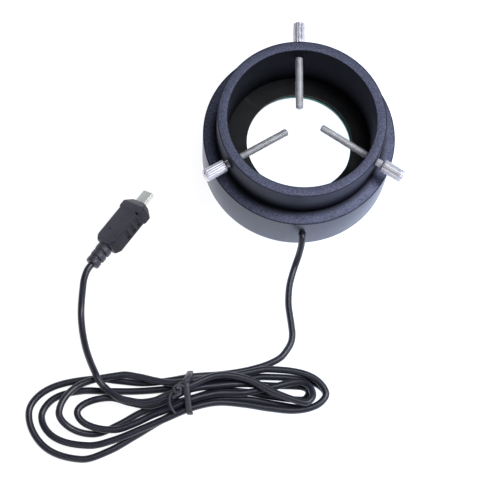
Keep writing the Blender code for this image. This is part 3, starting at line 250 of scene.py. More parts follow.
# free strands of the tie: name, radius and points in the hank's own frame
TIE_STRANDS = (
    (
        "tie_fold",
        1.25,
        ((-2.9, 3.6, 14.3), (-1.7, 4.6, 14.4), (-0.6, 6.0, 13.8), (0.1, 7.6, 12.2), (0.3, 9.0, 10.0)),
    ),
    (
        "tie_tail",
        0.62,
        (
            (-1.8, 3.1, 14.8), (-4.2, 3.4, 14.8), (-6.3, 1.4, 14.8), (-8.3, -0.7, 14.5),
            (-10.1, -3.6, 14.0), (-10.1, -6.4, 13.0), (-9.0, -9.1, 11.6), (-7.3, -11.1, 10.4),
        ),
    ),
    (
        "tie_knot",
        0.85,
        (
            (-3.0, 1.4, 14.6), (-4.8, 2.0, 15.0), (-6.7, 1.3, 15.3), (-7.9, -0.1, 15.1),
            (-6.6, -1.7, 15.1), (-4.9, -0.9, 15.3), (-5.3, 0.8, 15.9), (-6.5, -0.2, 16.2),
        ),
    ),
    ("tie_stub", 0.80, ((-4.4, -2.0, 14.6), (-6.0, -2.7, 14.9), (-7.6, -3.4, 14.6), (-8.6, -4.1, 14.2))),
)


# Small helpers


def polar(radius, azimuth, height=0.0):
    angle = math.radians(azimuth)
    return Vector((radius * math.cos(angle), radius * math.sin(angle), height))


def spin(degrees, axis="Z"):
    return Matrix.Rotation(math.radians(degrees), 4, axis)


def ease(share):
    share = min(max(share, 0.0), 1.0)
    return share * share * (3.0 - 2.0 * share)


def skin(bm, loops, closed=False):
    """Join matching loops of points with quads, and cap both ends of an open row of them."""
    rows = [[bm.verts.new(point) for point in loop] for loop in loops]
    pairs = list(zip(rows, rows[1:]))
    if closed:
        pairs.append((rows[-1], rows[0]))
    for near, far in pairs:
        for i in range(len(near)):
            bm.faces.new((near[i - 1], near[i], far[i], far[i - 1]))
    if not closed:
        bm.faces.new(rows[0])
        bm.faces.new(rows[-1])


def rounded(profile, radius, steps=3):
    """Round each corner of a closed outline of (radius, height) points."""
    points = [Vector(point) for point in profile]
    result = []
    for i, corner in enumerate(points):
        before = points[i - 1] - corner
        after = points[(i + 1) % len(points)] - corner
        reach = min(radius, 0.45 * before.length, 0.45 * after.length)
        start = corner + before.normalized() * reach
        end = corner + after.normalized() * reach
        for j in range(steps + 1):
            t = j / steps
            result.append(start.lerp(corner, t).lerp(corner.lerp(end, t), t))
    return result


def revolved(profile, steps, closed=True):
    """Spin an outline of (radius, height) points round the Z axis."""
    bm = bmesh.new()
    loops = [[polar(radius, 360.0 * i / steps, z) for i in range(steps)] for radius, z in profile]
    skin(bm, loops, closed)
    return bm


def add_drum(bm, radius, start, end, sides, end_radius=None):
    start, end = Vector(start), Vector(end)
    turn = (end - start).to_track_quat("Z", "Y").to_matrix().to_4x4()
    bmesh.ops.create_cone(
        bm,
        cap_ends=True,
        segments=sides,
        radius1=radius,
        radius2=radius if end_radius is None else end_radius,
        depth=(end - start).length,
        matrix=Matrix.Translation((start + end) / 2.0) @ turn,
    )


def add_box(bm, size, centre, matrix=IDENTITY):
    place = matrix @ Matrix.Translation(centre) @ Matrix.Diagonal((*size, 1.0))
    bmesh.ops.create_cube(bm, size=1.0, matrix=place)


def plain_object(name, bm):
    bmesh.ops.recalc_face_normals(bm, faces=bm.faces[:])
    mesh = bpy.data.meshes.new(name)
    bm.to_mesh(mesh)
    bm.free()
    item = bpy.data.objects.new(name, mesh)
    bpy.context.scene.collection.objects.link(item)
    return item


def cut(item, *shapes):
    """Take shapes, given as bmeshes, out of a piece."""
    tools = [plain_object("tool", shape) for shape in shapes]
    for tool in tools:
        change = item.modifiers.new("change", "BOOLEAN")
        change.operation = "DIFFERENCE"
        change.solver = "EXACT"
        change.object = tool
    graph = bpy.context.evaluated_depsgraph_get()
    mesh = bpy.data.meshes.new_from_object(item.evaluated_get(graph))
    item.modifiers.clear()
    item.data = mesh
    for tool in tools:
        bpy.data.objects.remove(tool)


def dress(item, material, nodes=(), body="lamp", angle=32.0):
    """Give a piece its material, its body and the nodes that it stands for."""
    item.data.materials.clear()
    item.data.materials.append(MATERIALS[material])
    if item.type == "MESH":
        item.data.shade_smooth()
        item.data.set_sharp_from_angle(angle=math.radians(angle))
    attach(item, body)
    if nodes:
        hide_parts(*nodes)
    return item


def make_piece(
    name, shape, material, nodes=(), cutters=(), matrix=TO_WORLD, body="lamp", angle=32.0
):
    """Turn a bmesh into a piece: cut, moved to its place and dressed."""
    item = plain_object(name, shape)
    if cutters:
        cut(item, *cutters)
    item.data.transform(matrix)
    return dress(item, material, nodes, body, angle)


# Materials


class Nodes:
    """Short ways to add shader nodes to a tree."""

    def __init__(self, tree):
        self.tree = tree

    def node(self, kind, **settings):
        item = self.tree.nodes.new(kind)
        for label, value in settings.items():
            setattr(item, label, value)
        return item

    def link(self, source, target):
        self.tree.links.new(source, target)

    def math(self, operation, first, second=None, third=None):
        item = self.node("ShaderNodeMath", operation=operation)
        for slot, value in enumerate((first, second, third)):
            if value is None:
                continue
            if isinstance(value, (int, float)):
                item.inputs[slot].default_value = value
            else:
                self.link(value, item.inputs[slot])
        return item.outputs[0]

    def product(self, first, second):
        return self.math("MULTIPLY", first, second)

    def apart(self, vector):
        """The three numbers of a vector."""
        item = self.node("ShaderNodeSeparateXYZ")
        self.link(vector, item.inputs[0])
        return item.outputs[0], item.outputs[1], item.outputs[2]

    def ramp(self, source, *stops):
        """Colour ramp with (position, colour) stops."""
        item = self.node("ShaderNodeValToRGB")
        elements = item.color_ramp.elements
        while len(elements) < len(stops):
            elements.new(0.5)
        for element, (position, color) in zip(elements, stops):
            element.position = position
            element.color = (*color, 1.0)
        self.link(source, item.inputs[0])
        return item.outputs["Color"]

    def span(self, source, low, high, from_low=0.25, from_high=0.75):
        """Take a range of the source's values to low and high."""
        item = self.node("ShaderNodeMapRange")
        item.inputs["From Min"].default_value = from_low
        item.inputs["From Max"].default_value = from_high
        item.inputs["To Min"].default_value = low
        item.inputs["To Max"].default_value = high
        self.link(source, item.inputs["Value"])
        return item.outputs[0]


class Paint(Nodes):
    """A procedural material on a Principled shader. Its lengths are millimetres."""

    def __init__(self, name, metallic=0.0, roughness=0.5, **inputs):
        self.material = bpy.data.materials.new(name)
        self.material.use_nodes = True
        super().__init__(self.material.node_tree)
        self.shader = self.tree.nodes["Principled BSDF"]
        self.shader.inputs["Metallic"].default_value = metallic
        self.shader.inputs["Roughness"].default_value = roughness
        for label, value in inputs.items():
            self.shader.inputs[label.replace("_", " ")].default_value = value
        self.where = self.node("ShaderNodeTexCoord").outputs["Object"]

    def noise(self, size, detail, stretch=(1.0, 1.0, 1.0), where=None, roughness=0.5):
        """Noise whose features are about size millimetres across."""
        mapping = self.node("ShaderNodeMapping")
        mapping.inputs["Scale"].default_value = [1000.0 / size * value for value in stretch]
        self.link(self.where if where is None else where, mapping.inputs["Vector"])
        item = self.node("ShaderNodeTexNoise")
        item.inputs["Scale"].default_value = 1.0
        item.inputs["Detail"].default_value = detail
        item.inputs["Roughness"].default_value = roughness
        self.link(mapping.outputs[0], item.inputs["Vector"])
        return item.outputs["Fac"]

    def mixed(self, share, first, second):
        item = self.node("ShaderNodeMix", data_type="RGBA")
        self.link(share, item.inputs[0])
        for slot, value in ((6, first), (7, second)):
            if isinstance(value, tuple):
                item.inputs[slot].default_value = (*value, 1.0)
            else:
                self.link(value, item.inputs[slot])
        return item.outputs[2]

    def color(self, source):
        self.link(source, self.shader.inputs["Base Color"])

    def roughness(self, source):
        self.link(source, self.shader.inputs["Roughness"])

    def bump(self, source, height, strength, under=None):
        """Bump whose full height is given in millimetres."""
        item = self.node("ShaderNodeBump")
        item.inputs["Strength"].default_value = strength
        item.inputs["Distance"].default_value = height / 1000.0
        self.link(source, item.inputs["Height"])
        if under is not None:
            self.link(under, item.inputs["Normal"])
        self.link(item.outputs[0], self.shader.inputs["Normal"])
        return item.outputs[0]

    def from_axis(self):
        """The shader's place as a vector from the ring's axis."""
        shifted = self.node("ShaderNodeVectorMath", operation="SUBTRACT")
        self.link(self.where, shifted.inputs[0])
        shifted.inputs[1].default_value = RING_AXIS
        return shifted.outputs[0]

    def turned(self):
        """A turned part's outline as a vector and a length, distance from the axis, height."""
        x, y, height = self.apart(self.from_axis())
        flat = self.node("ShaderNodeCombineXYZ")
        self.link(x, flat.inputs[0])
        self.link(y, flat.inputs[1])
        reach = self.node("ShaderNodeVectorMath", operation="LENGTH")
        self.link(flat.outputs[0], reach.inputs[0])
        along = self.math("ADD", reach.outputs["Value"], height)
        line = self.node("ShaderNodeCombineXYZ")
        self.link(along, line.inputs[0])
        return line.outputs[0], along, reach.outputs["Value"], height

    def past(self, source, start, end):
        """0 up to a length of start millimetres, rising to 1 at end."""
        return self.span(source, 0.0, 1.0, start / 1000.0, end / 1000.0)

    def short_of(self, source, start, end):
        """1 up to a length of start millimetres, falling to 0 at end."""
        return self.span(source, 1.0, 0.0, start / 1000.0, end / 1000.0)

    def edges(self):
        """1 on worn convex edges and 0 elsewhere."""
        geometry = self.node("ShaderNodeNewGeometry")
        return self.span(geometry.outputs["Pointiness"], 0.0, 1.0, 0.53, 0.60)


def anodised():
    """Satin black anodised aluminium: mottled faces, finely turned walls and a matt bore, with painted shade
    at the collar's foot, on the collar's lower wall and along the outer edges of the top faces.
    """
    paint = Paint("black_anodised", metallic=1.0, roughness=0.42)
    paint.shader.inputs["Specular Tint"].default_value = (0.75, 0.77, 0.84, 1.0)
    speckle = paint.noise(0.85, 3.0, roughness=0.6)
    cloud = paint.noise(9.0, 2.0)
    outline, along, reach, height = paint.turned()
    lines = paint.noise(0.16, 2.0, (1.0, 0.0, 0.0), outline)

    flange_wall = paint.past(reach, FLANGE_RADIUS - 0.4, FLANGE_RADIUS - 0.1)
    flange_rim = paint.past(reach, FLANGE_RADIUS - 1.2, FLANGE_RADIUS - 1.0)
    low = paint.short_of(height, FLANGE_HEIGHT + 0.3, FLANGE_HEIGHT + 0.9)
    # foot: the flange's top next to the collar, darkened there as painted shade
    foot = paint.product(low, paint.short_of(reach, COLLAR_RADIUS + 0.3, COLLAR_RADIUS + 3.1))
    above = paint.past(height, FLANGE_HEIGHT + 0.3, FLANGE_HEIGHT + 0.9)
    collar_wall = paint.product(above, paint.past(reach, COLLAR_RADIUS - 0.4, COLLAR_RADIUS - 0.1))
    bore = paint.short_of(reach, BORE_RADIUS + 0.1, BORE_RADIUS + 0.6)
    # painted shade: thin dark lines along the outer edges of the collar's and the flange's top faces
    collar_corner = COLLAR_RADIUS + HOUSING_HEIGHT
    flange_corner = FLANGE_RADIUS + FLANGE_HEIGHT
    rim_shade_line = paint.past(along, collar_corner - 0.7, collar_corner - 0.5)
    step_shade_line = paint.product(paint.past(along, flange_corner - 0.7, flange_corner - 0.5), flange_rim)

    tone = paint.math("MULTIPLY_ADD", lines, 0.40, paint.product(speckle, 0.60))
    face = paint.ramp(
        tone,
        (0.38, (0.088, 0.094, 0.142)),
        (0.50, (0.140, 0.149, 0.222)),
        (0.60, (0.205, 0.218, 0.320)),
    )
    rings = paint.ramp(lines, (0.35, (0.086, 0.088, 0.097)), (0.65, (0.128, 0.131, 0.143)))
    # painted shade: the collar's wall darkens towards its foot
    rise = paint.past(height, 29.0, 40.0)
    collar_tone_and_shade = paint.ramp(rise, (0.0, (0.010, 0.010, 0.014)), (1.0, (0.047, 0.049, 0.063)))
    # painted shade at the collar's foot, the flange wall's rings, the collar wall with its painted shade,
    # then the matt bore
    color = paint.mixed(foot, face, (0.024, 0.025, 0.034))
    color = paint.mixed(flange_wall, color, rings)
    color = paint.mixed(collar_wall, color, collar_tone_and_shade)
    color = paint.mixed(bore, color, (0.020, 0.020, 0.026))
    paint.color(paint.mixed(paint.math("MAXIMUM", rim_shade_line, step_shade_line), color, (0.050, 0.050, 0.072)))

    grain = paint.math("MULTIPLY_ADD", cloud, 0.5, paint.product(speckle, 0.5))
    worn = paint.math("MULTIPLY_ADD", paint.edges(), -0.10, paint.span(grain, 0.54, 0.66))
    smooth = paint.math("MULTIPLY_ADD", flange_wall, -0.32, worn)
    smooth = paint.math("MULTIPLY_ADD", collar_wall, -0.14, smooth)
    paint.roughness(paint.math("MULTIPLY_ADD", bore, 0.06, smooth))
    paint.bump(speckle, 0.020, 0.8, paint.bump(lines, 0.004, 0.7))
    return paint.material


def black_plastic():
    paint = Paint("black_plastic", roughness=0.62, IOR=1.46)
    grain = paint.noise(0.45, 3.0)
    cloud = paint.noise(6.0, 2.0)
    paint.color(paint.ramp(grain, (0.3, (0.0045, 0.0045, 0.0060)), (0.7, (0.0090, 0.0090, 0.0115))))
    paint.roughness(paint.span(cloud, 0.55, 0.74))
    paint.bump(grain, 0.020, 0.8)
    return paint.material


def solder_resist():
    paint = Paint("solder_resist", roughness=0.30, IOR=1.50)
    line = paint.node("ShaderNodeTexWave", wave_type="RINGS", rings_direction="Z")
    paint.link(paint.from_axis(), line.inputs["Vector"])
    line.inputs["Scale"].default_value = 95.0
    line.inputs["Distortion"].default_value = 0.0
    track = paint.span(line.outputs["Fac"], 0.0, 1.0, 0.55, 0.62)
    weave = paint.noise(0.5, 2.0)
    ground = paint.ramp(weave, (0.3, (0.012, 0.105, 0.085)), (0.7, (0.020, 0.150, 0.118)))
    paint.color(paint.mixed(track, ground, (0.035, 0.215, 0.165)))
    paint.roughness(paint.span(paint.noise(3.0, 2.0), 0.24, 0.42))
    paint.bump(track, 0.035, 0.6)
    return paint.material


def epoxy():
    paint = Paint("clear_epoxy", roughness=0.04, IOR=1.53, Transmission_Weight=1.0)
    haze = paint.noise(1.8, 2.0)
    paint.color(paint.ramp(haze, (0.3, (0.93, 0.95, 0.95)), (0.7, (0.985, 0.99, 0.985))))
    paint.roughness(paint.span(haze, 0.02, 0.10))
    paint.bump(haze, 0.010, 0.5)
    return paint.material


def acrylic():
    paint = Paint("clear_acrylic", roughness=0.05, IOR=1.49, Transmission_Weight=1.0)
    scratch = paint.noise(0.5, 3.0, (1.0, 0.08, 1.0))
    haze = paint.noise(11.0, 2.0)
    paint.color(paint.ramp(haze, (0.3, (0.90, 0.945, 0.955)), (0.7, (0.965, 0.985, 0.985))))
    paint.roughness(paint.span(haze, 0.03, 0.10))
    paint.bump(scratch, 0.004, 0.5)
    return paint.material


def phosphor():
    paint = Paint("phosphor", roughness=0.55)
    grain = paint.noise(0.3, 3.0)
    paint.color(paint.ramp(grain, (0.3, (0.80, 0.62, 0.06)), (0.7, (0.93, 0.80, 0.18))))
    paint.bump(grain, 0.03, 0.6)
    return paint.material


def metal(name, low, high, rough_low, rough_high, metallic=1.0):
    """Plated metal with fine grain and cloudy tone."""
    paint = Paint(name, metallic=metallic, roughness=rough_low)
    fine = paint.noise(0.5, 3.0)
    paint.color(paint.ramp(paint.noise(4.0, 3.0), (0.3, low), (0.7, high)))
    paint.roughness(paint.span(fine, rough_low, rough_high))
    paint.bump(fine, 0.0015, 0.8)
    return paint.material


def lacquer():
    paint = Paint("resistor_lacquer", roughness=0.35)
    grain = paint.noise(0.6, 2.0)
    paint.color(paint.ramp(grain, (0.3, (0.30, 0.47, 0.58)), (0.7, (0.37, 0.54, 0.64))))
    paint.roughness(paint.span(grain, 0.28, 0.45))
    paint.bump(grain, 0.015, 0.6)
    return paint.material


def soft_plastic(name, low, high, rough_low, rough_high, size=0.5, height=0.012, ior=1.48):
    """Plastic with a grain of the given size and height, both in millimetres."""
    paint = Paint(name, roughness=rough_low, IOR=ior)
    grain = paint.noise(size, 3.0)
    cloud = paint.noise(7.0, 3.0)
    tone = paint.math("MULTIPLY_ADD", cloud, 0.6, paint.product(grain, 0.4))
    paint.color(paint.ramp(tone, (0.35, low), (0.65, high)))
    paint.roughness(paint.span(cloud, rough_low, rough_high))
    paint.bump(grain, height, 0.7)
    return paint.material


MATERIALS = {
    "anodised": anodised(),
    "moulded": black_plastic(),
    "board": solder_resist(),
    "diode": epoxy(),
    "clear": acrylic(),
    "phosphor": phosphor(),
    "resistor": lacquer(),
    "nickel": metal("bright_nickel", (0.80, 0.78, 0.84), (0.92, 0.90, 0.96), 0.43, 0.55),
    "stud": metal("stud_steel", (0.66, 0.66, 0.69), (0.82, 0.82, 0.85), 0.44, 0.54, metallic=0.55),
    "brass": metal("plated_brass", (0.60, 0.57, 0.48), (0.72, 0.69, 0.60), 0.24, 0.38),
    "zinc": metal("zinc_plate", (0.56, 0.575, 0.59), (0.70, 0.71, 0.72), 0.26, 0.42),
    "shell": metal(
        "plug_shell_metal", (0.88, 0.88, 0.82), (0.96, 0.96, 0.91), 0.36, 0.46, metallic=0.5
    ),
    "copper": metal("tinned_copper", (0.62, 0.60, 0.58), (0.75, 0.73, 0.70), 0.25, 0.40),
    "nylon": soft_plastic("natural_nylon", (0.66, 0.64, 0.56), (0.76, 0.74, 0.67), 0.42, 0.56),
    "red": soft_plastic("red_insulation", (0.42, 0.012, 0.010), (0.55, 0.022, 0.018), 0.38, 0.50),
    "black": soft_plastic("black_insulation", (0.010, 0.010, 0.011), (0.018, 0.018, 0.020), 0.38, 0.50),
    "jacket": soft_plastic(
        "cord_jacket", (0.0140, 0.0140, 0.0270), (0.0225, 0.0225, 0.0410), 0.34, 0.44, 0.35, 0.006, 1.64
    ),
    "plug": soft_plastic(
        "plug_moulding", (0.0590, 0.0575, 0.0770), (0.0800, 0.0780, 0.1010), 0.38, 0.52, 0.40, 0.014
    ),
    # flat sides of the plug: the same plastic, darker as painted shade, and rougher
    "plug_shaded_side": soft_plastic(
        "side_faces_painted_shade", (0.0165, 0.0158, 0.0260), (0.0265, 0.0255, 0.0385), 0.54, 0.66, 0.30, 0.020
    ),
    "tie": soft_plastic(
        "tie_plastic", (0.0520, 0.0520, 0.0640), (0.0820, 0.0820, 0.0980), 0.34, 0.48, 0.60, 0.020
    ),
}


# Camera


def make_camera():
    data = bpy.data.cameras.new("camera")
    data.sensor_width = 36.0
    data.lens = CAMERA_LENS
    data.clip_start = 0.01
    data.clip_end = 20.0
    item = bpy.data.objects.new("camera", data)
    bpy.context.scene.collection.objects.link(item)
    back = CAMERA_BACK.normalized()
    up = back.cross(CAMERA_RIGHT).normalized()
    turn = Matrix((up.cross(back), up, back)).transposed().to_4x4()
    item.matrix_world = Matrix.Translation(RING_AXIS + CAMERA_PLACE) @ turn
    bpy.context.scene.camera = item


make_camera()


# Cord


def cord_exit(radius):
    """Point on the axis of the cord's hole, at a distance from the ring's axis."""
    return polar(radius, CORD_EXIT_AZIMUTH, CORD_EXIT_HEIGHT)


def run_point(waist, length, across, height, sway, climb_share, t):
    """Point at share t of a straight run, from the waist out to where a lobe starts to bend."""
    rise = ease((climb_share + 0.25 - t) / 0.5)
    leave = waist[0] * (2 * t**3 - 3 * t**2 + 1) + waist[2] * length * (t**3 - 2 * t**2 + t)
    arrive = across * (3 * t**2 - 2 * t**3) + sway * 16 * t**2 * (1 - t) ** 2
    return Vector((length * t, leave + arrive, height + (waist[1] - height) * rise))


def bend_point(length, across, height, lobe, angle):
    """Point of a lobe's bend, from its straight run at 0 degrees to its tip at 90."""
    sine, cosine = math.sin(math.radians(angle)), math.cos(math.radians(angle))
    reach, tip_across, tip_height = lobe[:3]
    return Vector(
        (
            length + (reach - length) * sine,
            tip_across + (across - tip_across) * cosine,
            height + (tip_height - height) * (1.0 - cosine),
        )
    )


def lobe_points(waist_out, lobe, waist_back):
    """Points of one half turn of the hank, from one pass through the waist to the next."""
    out = lobe[3:5]
    out_sway = lobe[5]
    back_length, back_across, back_height, back_sway, climb = lobe[6:]
    points = []
    for i in range(RUN_POINTS):
        points.append(run_point(waist_out, *out, waist_out[1], out_sway, climb, i / RUN_POINTS))
    for i in range(BEND_POINTS):
        points.append(bend_point(*out, waist_out[1], lobe, 90.0 * i / BEND_POINTS))
    for i in range(BEND_POINTS):
        angle = 90.0 - 90.0 * i / BEND_POINTS
        points.append(bend_point(back_length, back_across, back_height, lobe, angle))
    for i in range(RUN_POINTS):
        t = 1.0 - i / RUN_POINTS
        points.append(run_point(waist_back, back_length, back_across, back_height, back_sway, climb, t))
    return points


def waist_end(waist, side):
    """Point just beyond a pass through the waist, on one side of it."""
    along = Vector((side, side * waist[2], 0.0)).normalized() * CORD_DIAMETER
    return Vector((0.0, waist[0], waist[1])) + along


def lifted(point):
    """The waist is held up a little, where the strands rest on the tie."""
    lift = WAIST_LIFT * ease(1.0 - abs(point.x) / WAIST_LIFT_RUN)
    return Vector((point.x, point.y, point.z + lift))


HANK_MATRIX = Matrix.Translation((*HANK_WAIST, 0.0)) @ spin(HANK_AZIMUTH)


def hank_points():
    points = [waist_end(HANK_PASSES[0], 1.0)]
    for out, lobe, back in zip(HANK_PASSES, HANK_LOBES, HANK_PASSES[1:]):
        points += lobe_points(out, lobe, back)
    last = HANK_PASSES[-1]
    points.append(Vector((0.0, last[0], last[1])))
    points.append(waist_end(last, -1.0))
    return [HANK_MATRIX @ lifted(point) for point in points]


def cord_points():
    """Knots of the whole cord, from inside the flange to inside the plug's boot."""
    exit_point = cord_exit(FLANGE_RADIUS)
    points = [cord_exit(CORD_START_RADIUS), exit_point, exit_point + polar(1.5, CORD_EXIT_AZIMUTH)]
    points += [Vector(point) for point in LEAD_ROUTE]
    points += hank_points()
    points += [Vector(point) for point in TAIL_ROUTE]
    backward = PLUG_MATRIX.to_3x3() @ Vector((-1.0, 0.0, 0.0))
    points.append(PLUG_MATRIX.translation + backward * CORD_DIAMETER)
    points.append(PLUG_MATRIX.translation - backward * 1.0)
    return points


def curve_piece(name, points, radius, material, nodes=(), resolution=8, sides=4, matrix=TO_WORLD):
    """Round tube on one smooth open curve through the points."""
    curve = bpy.data.curves.new(name, "CURVE")
    curve.dimensions = "3D"
    curve.resolution_u = resolution
    curve.bevel_depth = radius * 0.001
    curve.bevel_resolution = sides
    curve.use_fill_caps = True
    spline = curve.splines.new("BEZIER")
    spline.bezier_points.add(len(points) - 1)
    placed = [matrix @ Vector(point) for point in points]
    for i, knot in enumerate(spline.bezier_points):
        before = placed[max(i - 1, 0)]
        after = placed[min(i + 1, len(placed) - 1)]
        along = (after - before).normalized()
        knot.co = placed[i]
        knot.handle_left_type = knot.handle_right_type = "FREE"
        knot.handle_left = placed[i] - along * (placed[i] - before).length / 3.0
        knot.handle_right = placed[i] + along * (after - placed[i]).length / 3.0
    item = bpy.data.objects.new(name, curve)
    bpy.context.scene.collection.objects.link(item)
    return dress(item, material, nodes)


cord = curve_piece(
    "cord",
    cord_points(),
    CORD_DIAMETER / 2.0,
    "jacket",
    ("cord_lead", "cord_hank", "cord_tail", "cord_jacket_end"),
    resolution=10,
    sides=6,
)


# Housing and what sits in its bore


def screw_matrix(screw):
    """Origin on the collar's wall, Z outward along the screw."""
    turn = polar(1.0, screw.axis_azimuth).to_track_quat("Z", "Y").to_matrix().to_4x4()
    return Matrix.Translation(polar(COLLAR_RADIUS, screw.hole_azimuth, THUMBSCREW_HEIGHT)) @ turn


def make_housing():
    """Turned ring with holes for the thumbscrews, the cord and the spacers."""
    profile = (
        (FLANGE_RADIUS, 0.0),
        (FLANGE_RADIUS, FLANGE_HEIGHT),
        (COLLAR_RADIUS, FLANGE_HEIGHT),
        (COLLAR_RADIUS, HOUSING_HEIGHT),
        (BORE_RADIUS, HOUSING_HEIGHT),
        (BORE_RADIUS, SLEEVE_BOTTOM),
        (SLEEVE_RADIUS, SLEEVE_BOTTOM),
        (SLEEVE_RADIUS, CEILING_HEIGHT),
        (CHAMBER_RADIUS, CEILING_HEIGHT),
        (CHAMBER_RADIUS, 0.0),
    )
    holes, sinks = bmesh.new(), bmesh.new()
    for screw in SCREWS.values():
        matrix = screw_matrix(screw)
        add_drum(holes, STUD_RADIUS + CLEARANCE, matrix @ (UP * -9.0), matrix @ (UP * 4.0), HOLE_SIDES)
        for low, high, radius, end_radius in SCREW_SINKS:
            add_drum(sinks, radius, matrix @ (UP * low), matrix @ (UP * high), HOLE_SIDES, end_radius)
    inner, outer = cord_exit(CHAMBER_RADIUS - 2.0), cord_exit(FLANGE_RADIUS + 2.0)
    add_drum(holes, CORD_DIAMETER / 2.0 + CLEARANCE, inner, outer, HOLE_SIDES)
    inner, outer = cord_exit(FLANGE_RADIUS - 0.45), cord_exit(FLANGE_RADIUS + 0.35)
    add_drum(sinks, 1.90, inner, outer, HOLE_SIDES, 2.70)
    for azimuth in SPACER_AZIMUTHS:
        foot = polar(SPACER_CIRCLE_RADIUS, azimuth, SLEEVE_BOTTOM - 2.0)
        add_drum(holes, SPACER_HOLE_RADIUS, foot, foot + UP * 6.6, 24)
    shape = revolved(rounded(profile, HOUSING_EDGE), FINE_STEPS)
    make_piece("turned_housing", shape, "anodised", ("housing",), (holes, sinks))


def flat_ring(outer, inner, bottom, top, edge, steps=FINE_STEPS):
    """Ring of a rectangular section with rounded edges."""
    corners = ((outer, bottom), (outer, top), (inner, top), (inner, bottom))
    return revolved(rounded(corners, edge, 2), steps)


def spacer_holes(bottom, top):
    bm = bmesh.new()
    for azimuth in SPACER_AZIMUTHS:
        foot = polar(SPACER_CIRCLE_RADIUS, azimuth, bottom - 1.0)
        head = polar(SPACER_CIRCLE_RADIUS, azimuth, top + 1.0)
        add_drum(bm, SPACER_HOLE_RADIUS, foot, head, 32)
    return bm


def make_floor_ring():
    """Black ring in the bore, whose opening lies off the axis."""
    shift = polar(FLOOR_OPENING_SHIFT, FLOOR_OPENING_AZIMUTH)
    opening, edge = bmesh.new(), bmesh.new()
    add_drum(opening, FLOOR_OPENING_RADIUS, shift + UP * 10.0, shift + UP * 20.0, FINE_STEPS)
    low, high = shift + UP * (FLOOR_TOP - 0.4), shift + UP * (FLOOR_TOP + 0.4)
    add_drum(edge, FLOOR_OPENING_RADIUS - 0.2, low, high, FINE_STEPS, FLOOR_OPENING_RADIUS + 0.6)
    cutters = (opening, edge, spacer_holes(FLOOR_BOTTOM, FLOOR_TOP))
    shape = flat_ring(SLEEVE_RADIUS - CLEARANCE, FLOOR_BLANK_RADIUS, FLOOR_BOTTOM, FLOOR_TOP, 0.25)
    make_piece("floor_ring", shape, "moulded", ("bore_floor",), cutters)


def make_board():
    """Ring of circuit board with a notch for the cord."""
    length = CHAMBER_FIT_RADIUS + 2.0 - BOARD_NOTCH_START
    middle = (BOARD_NOTCH_START + length / 2.0, 0.0, (BOARD_BOTTOM + BOARD_TOP) / 2.0)
    notch = bmesh.new()
    add_box(notch, (length, BOARD_NOTCH_WIDTH, 6.0), middle, spin(CORD_EXIT_AZIMUTH))
    cutters = (notch, spacer_holes(BOARD_BOTTOM, BOARD_TOP))
    shape = flat_ring(CHAMBER_FIT_RADIUS, BOARD_INNER_RADIUS, BOARD_BOTTOM, BOARD_TOP, 0.12)
    make_piece("circuit_board", shape, "board", ("led_board",), cutters)


def make_window():
    shape = flat_ring(CHAMBER_FIT_RADIUS, WINDOW_INNER_RADIUS, WINDOW_BOTTOM, WINDOW_TOP, 0.2)
    make_piece("clear_window", shape, "clear", ("front_window",), (spacer_holes(WINDOW_BOTTOM, WINDOW_TOP),))


def make_shade():
    """Thin cone from the window's inner edge up to the board."""
    foot = WINDOW_INNER_RADIUS - CLEARANCE
    under = DIODE_TOP - SHADE_WALL
    profile = (
        (SHADE_TOP_RADIUS, DIODE_TOP),
        (SHADE_TOP_RADIUS + 3.0, DIODE_TOP),
        (SHADE_TOP_RADIUS + 3.0, under),
        (SHADE_TOP_RADIUS + 0.8, under),
        (foot, WINDOW_BOTTOM),
        (foot - SHADE_WALL, WINDOW_BOTTOM),
    )
    make_piece("light_shade", revolved(rounded(profile, 0.12, 2), 200), "moulded", ("inner_shade",))


def joined(bm, part, matrix=IDENTITY):
    """Add another bmesh, moved by a matrix."""
    known = len(bm.verts)
    mesh = bpy.data.meshes.new("part")
    part.to_mesh(mesh)
    part.free()
    bm.from_mesh(mesh)
    bpy.data.meshes.remove(mesh)
    bm.verts.ensure_lookup_table()
    bmesh.ops.transform(bm, matrix=matrix, verts=bm.verts[known:])


def diode_body():
    """Clear body of one diode: rim at the board, straight side and round dome below."""
    top, side, rim = DIODE_TOP, 2.48, 2.78
    profile = [(0.05, top), (rim - 0.06, top), (rim, top - 0.1), (rim, top - 0.9)]
    profile += [(rim - 0.08, top - 1.0), (side, top - 1.05)]
    dome_foot = top - DIODE_LENGTH + 2.3
    for i in range(9):
        angle = math.radians(90.0 * i / 8)
        profile.append((max(side * math.cos(angle), 0.05), dome_foot - 2.25 * math.sin(angle)))
    return revolved(profile, 28, closed=False)


def diode_core(*depths):
    """Small turned piece inside a diode, from (radius, depth below the diode's top)."""
    bm = bmesh.new()
    profile = [(radius, DIODE_TOP - depth) for radius, depth in depths]
    joined(bm, revolved(profile, 16, closed=False), Matrix.Translation((-0.55, 0.0, 0.0)))
    return bm


def diode_frame():
    """The two metal posts inside a diode, one with the chip's cup."""
    stem = ((0.30, 0.3), (0.34, 3.6), (0.85, 4.3), (0.92, 4.9))
    cup = ((0.62, 4.9), (0.45, 4.45), (0.04, 4.4))
    bm = diode_core(*stem, *cup)
    add_box(bm, (0.45, 0.5, 3.6), (1.05, 0.0, DIODE_TOP - 2.1))
    return bm


def diode_chip():
    return diode_core((0.05, 4.45), (0.44, 4.5), (0.60, 4.86), (0.35, 4.95), (0.04, 4.98))


